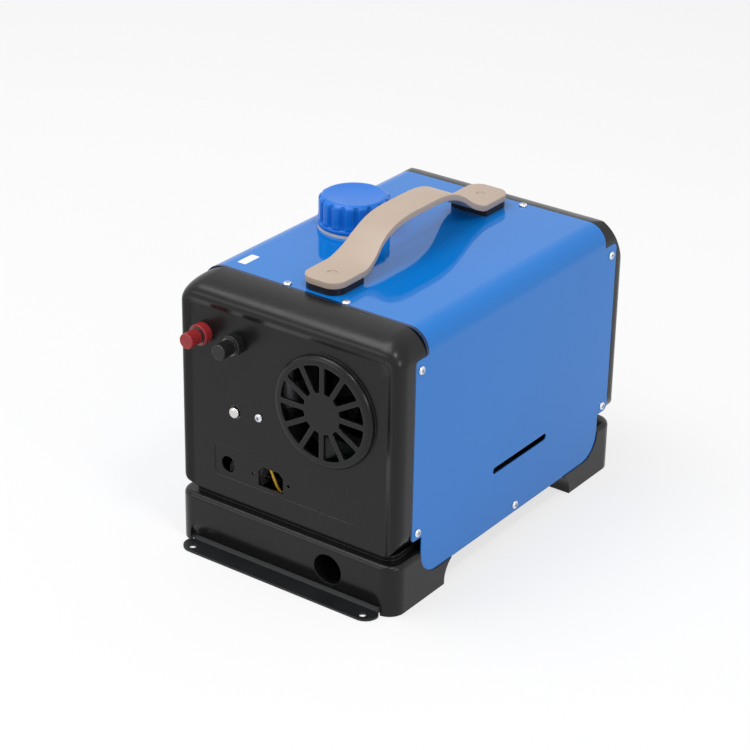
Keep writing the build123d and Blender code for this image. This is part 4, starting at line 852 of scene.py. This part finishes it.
def strapPlug(s, name, y):
    piece = turned(s["profile"], s["sides"])
    freshStart()
    bpy.ops.mesh.primitive_torus_add(location=(0, 0, s["grooveHeight"]), **s["groove"])
    carve(piece, settle())
    moveTo(piece, (0, y, 0))
    return finishPiece(piece, name, "tanStrap", "heater", ("handle",))


carryStrap(strapSettings)
for side, end in ((-1, "Front"), (1, "Rear")):
    strapBolt(boltSettings, "strapBolt" + end, strapScrewY(strapSettings, side))
    strapPlug(plugSettings, "strapPlug" + end, strapScrewY(strapSettings, side))
print("carrying strap")

# pan-head screws with a cross recess, modelled once and copied to each place
screwSettings = {
    "sides": 32,
    "profile": (
        (0.00114, -0.009), (0.0019, -0.008), (0.0019, 0), (0.0038, 0), (0.004, 0.0002), (0.004, 0.0008),
        (0.0038, 0.0013), (0.00336, 0.00175), (0.00264, 0.0021), (0.0016, 0.00226), (0.0004, 0.0023),
    ),
    "crossLength": 0.005, "crossWidth": 0.0012, "crossDepth": 0.0014, "crossTop": 0.0023,
    "crossTaper": (0.55, 0.7, 1), "crossTurn": 20, "facingDown": -0.5, "turnStep": 37,
    "sideX": 0.1216, "sheetTop": 0.2634, "coverFace": -0.1839,
    "earY": (-0.1557, 0.1527), "earZ": (0.0727, 0.231), "skirt": (0.0025, 0.0305),
    "topX": 0.032, "topY": (-0.1425, 0.137), "panel": (-0.0318, 0.1484),
    "stripX": (-0.08, 0, 0.08), "stripY": (-0.1705, 0.1575), "stripZ": 0.003,
}


def panScrew(s):
    piece = turned(s["profile"], s["sides"])
    for turn in (0, 90):
        freshStart()
        bpy.ops.mesh.primitive_cube_add(size=1, location=(0, 0, s["crossTop"]))
        bpy.context.object.scale = (s["crossLength"], s["crossWidth"], 2 * s["crossDepth"])
        cutter = settle()
        bpy.ops.object.mode_set(mode="EDIT")
        pick("FACE", lambda f: f.normal.z < s["facingDown"])
        bpy.ops.transform.resize(value=s["crossTaper"], center_override=(0, 0, 0))
        bpy.ops.object.mode_set(mode="OBJECT")
        cutter.data.transform(Matrix.Rotation(radians(turn + s["crossTurn"]), 4, "Z"))
        carve(piece, cutter)
    return piece


def screwPlaces(s):
    # each screw's name, place, direction and CAD node, in the order that numbers them
    places = []
    for side in (-1, 1):
        outwards = Matrix.Rotation(radians(90 * side), 4, "Y")
        for y, z in [(y, z) for y in s["earY"] for z in s["earZ"]] + [s["skirt"]]:
            places.append(("sideScrew", (side * s["sideX"], y, z), outwards, "casing_screws"))
    for x in (-s["topX"], s["topX"]):
        for y in s["topY"]:
            places.append(("topScrew", (x, y, s["sheetTop"]), upwards, "casing_screws"))
    x, z = s["panel"]
    places.append(("panelScrew", (x, s["coverFace"], z), towardsFront, "panel_screw"))
    for x in s["stripX"]:
        for y in s["stripY"]:
            places.append(("stripScrew", (x, y, s["stripZ"]), downwards, "strip_screws"))
    return places


screw = panScrew(screwSettings)
for number, (name, place, direction, node) in enumerate(screwPlaces(screwSettings)):
    turn = Matrix.Rotation(radians(screwSettings["turnStep"] * number), 4, "Z")
    twin = copyTo(screw, Matrix.Translation(place) @ direction @ turn)
    finishPiece(twin, f"{name}{number:02d}", "zincPlate", "heater", (node,), smooth=30)
bpy.data.objects.remove(screw)
print("screws")

# binding post knobs with fine flutes
knobSettings = {
    "height": 0.214, "back": -0.1941, "radius": 0.0073,
    "profile": (
        (0.00305, 0.0114), (0.00305, 0), (0.0065, 0), (0.0072, 0.0004), (0.0073, 0.0006), (0.0073, 0.0122),
        (0.0073, 0.0125), (0.0073, 0.0135), (0.007, 0.0141), (0.0064, 0.0144), (0.0059, 0.0144),
        (0.0056, 0.01415), (0.0006, 0.01415),
    ),
    "flutes": 26, "spotsPerFlute": 4, "fluteDepth": 0.0006,
    "fluteInner": 0.00405, "fluteLow": 0.0005, "fluteHigh": 0.0123,
    "posts": (
        {"name": "redKnob", "x": -0.094, "finish": "redPlastic", "body": "red_knob",
         "slot": "red_plastic", "node": "red_post_knob"},
        {"name": "blackKnob", "x": -0.0573, "finish": "postBlack", "body": "black_knob",
         "slot": "post_black", "node": "black_post_knob"},
    ),
}


def postKnob(s, post):
    spots = s["spotsPerFlute"]
    sides = s["flutes"] * spots
    piece = turned(s["profile"], sides)
    bpy.ops.object.mode_set(mode="EDIT")
    pick("VERT", lambda v: s["fluteLow"] < v.co.z < s["fluteHigh"]
         and v.co.xy.length > s["fluteInner"] and ringSpot(v, sides) % spots == 0)
    drawIn(1 - s["fluteDepth"] / s["radius"])
    bpy.ops.object.mode_set(mode="OBJECT")
    moveTo(piece, (post["x"], s["back"], s["height"]), towardsFront)
    return finishPiece(piece, post["name"], post["finish"], post["body"], (post["node"],),
                       smooth=25)


for post in knobSettings["posts"]:
    postKnob(knobSettings, post)
print("post knobs")

# domed button between the posts and the inlet
buttonSettings = {
    "place": (-0.0593, -0.1839, 0.1452), "sides": 48,
    "profile": (
        (0.00432, -0.006), (0.0078, -0.0045), (0.0078, -0.003), (0.0054, -0.003), (0.0054, 0.00068),
        (0.005319, 0.001292), (0.005022, 0.001972), (0.004428, 0.002584), (0.003564, 0.003026),
        (0.002376, 0.003298), (0.000648, 0.0034),
    ),
}


def panelButton(s):
    piece = turned(s["profile"], s["sides"])
    moveTo(piece, s["place"], towardsFront)
    return finishPiece(piece, "panelButton", "nickelPlate", "heater", ("blanking_plug",),
                       smooth=60)


panelButton(buttonSettings)
print("panel button")

# bare paper label on the top sheet
labelSettings = {
    "place": (-0.0923, -0.1218, 0.2634), "width": 0.009, "length": 0.021, "thickness": 0.00015,
    "corner": 0.0008, "cornerSegments": 4,
}


def bareLabel(s):
    freshStart()
    bpy.ops.mesh.primitive_plane_add(size=1, location=s["place"])
    bpy.context.object.scale = (s["width"], s["length"], 1)
    piece = settle()
    editAll()
    bpy.ops.mesh.bevel(offset=s["corner"], segments=s["cornerSegments"], affect="VERTICES")
    bpy.ops.mesh.select_all(action="SELECT")
    bpy.ops.mesh.extrude_region_move(TRANSFORM_OT_translate={"value": (0, 0, s["thickness"])})
    faceOutwards()
    return finishPiece(piece, "bareLabel", "paperSticker", "heater")


bareLabel(labelSettings)
print("label")
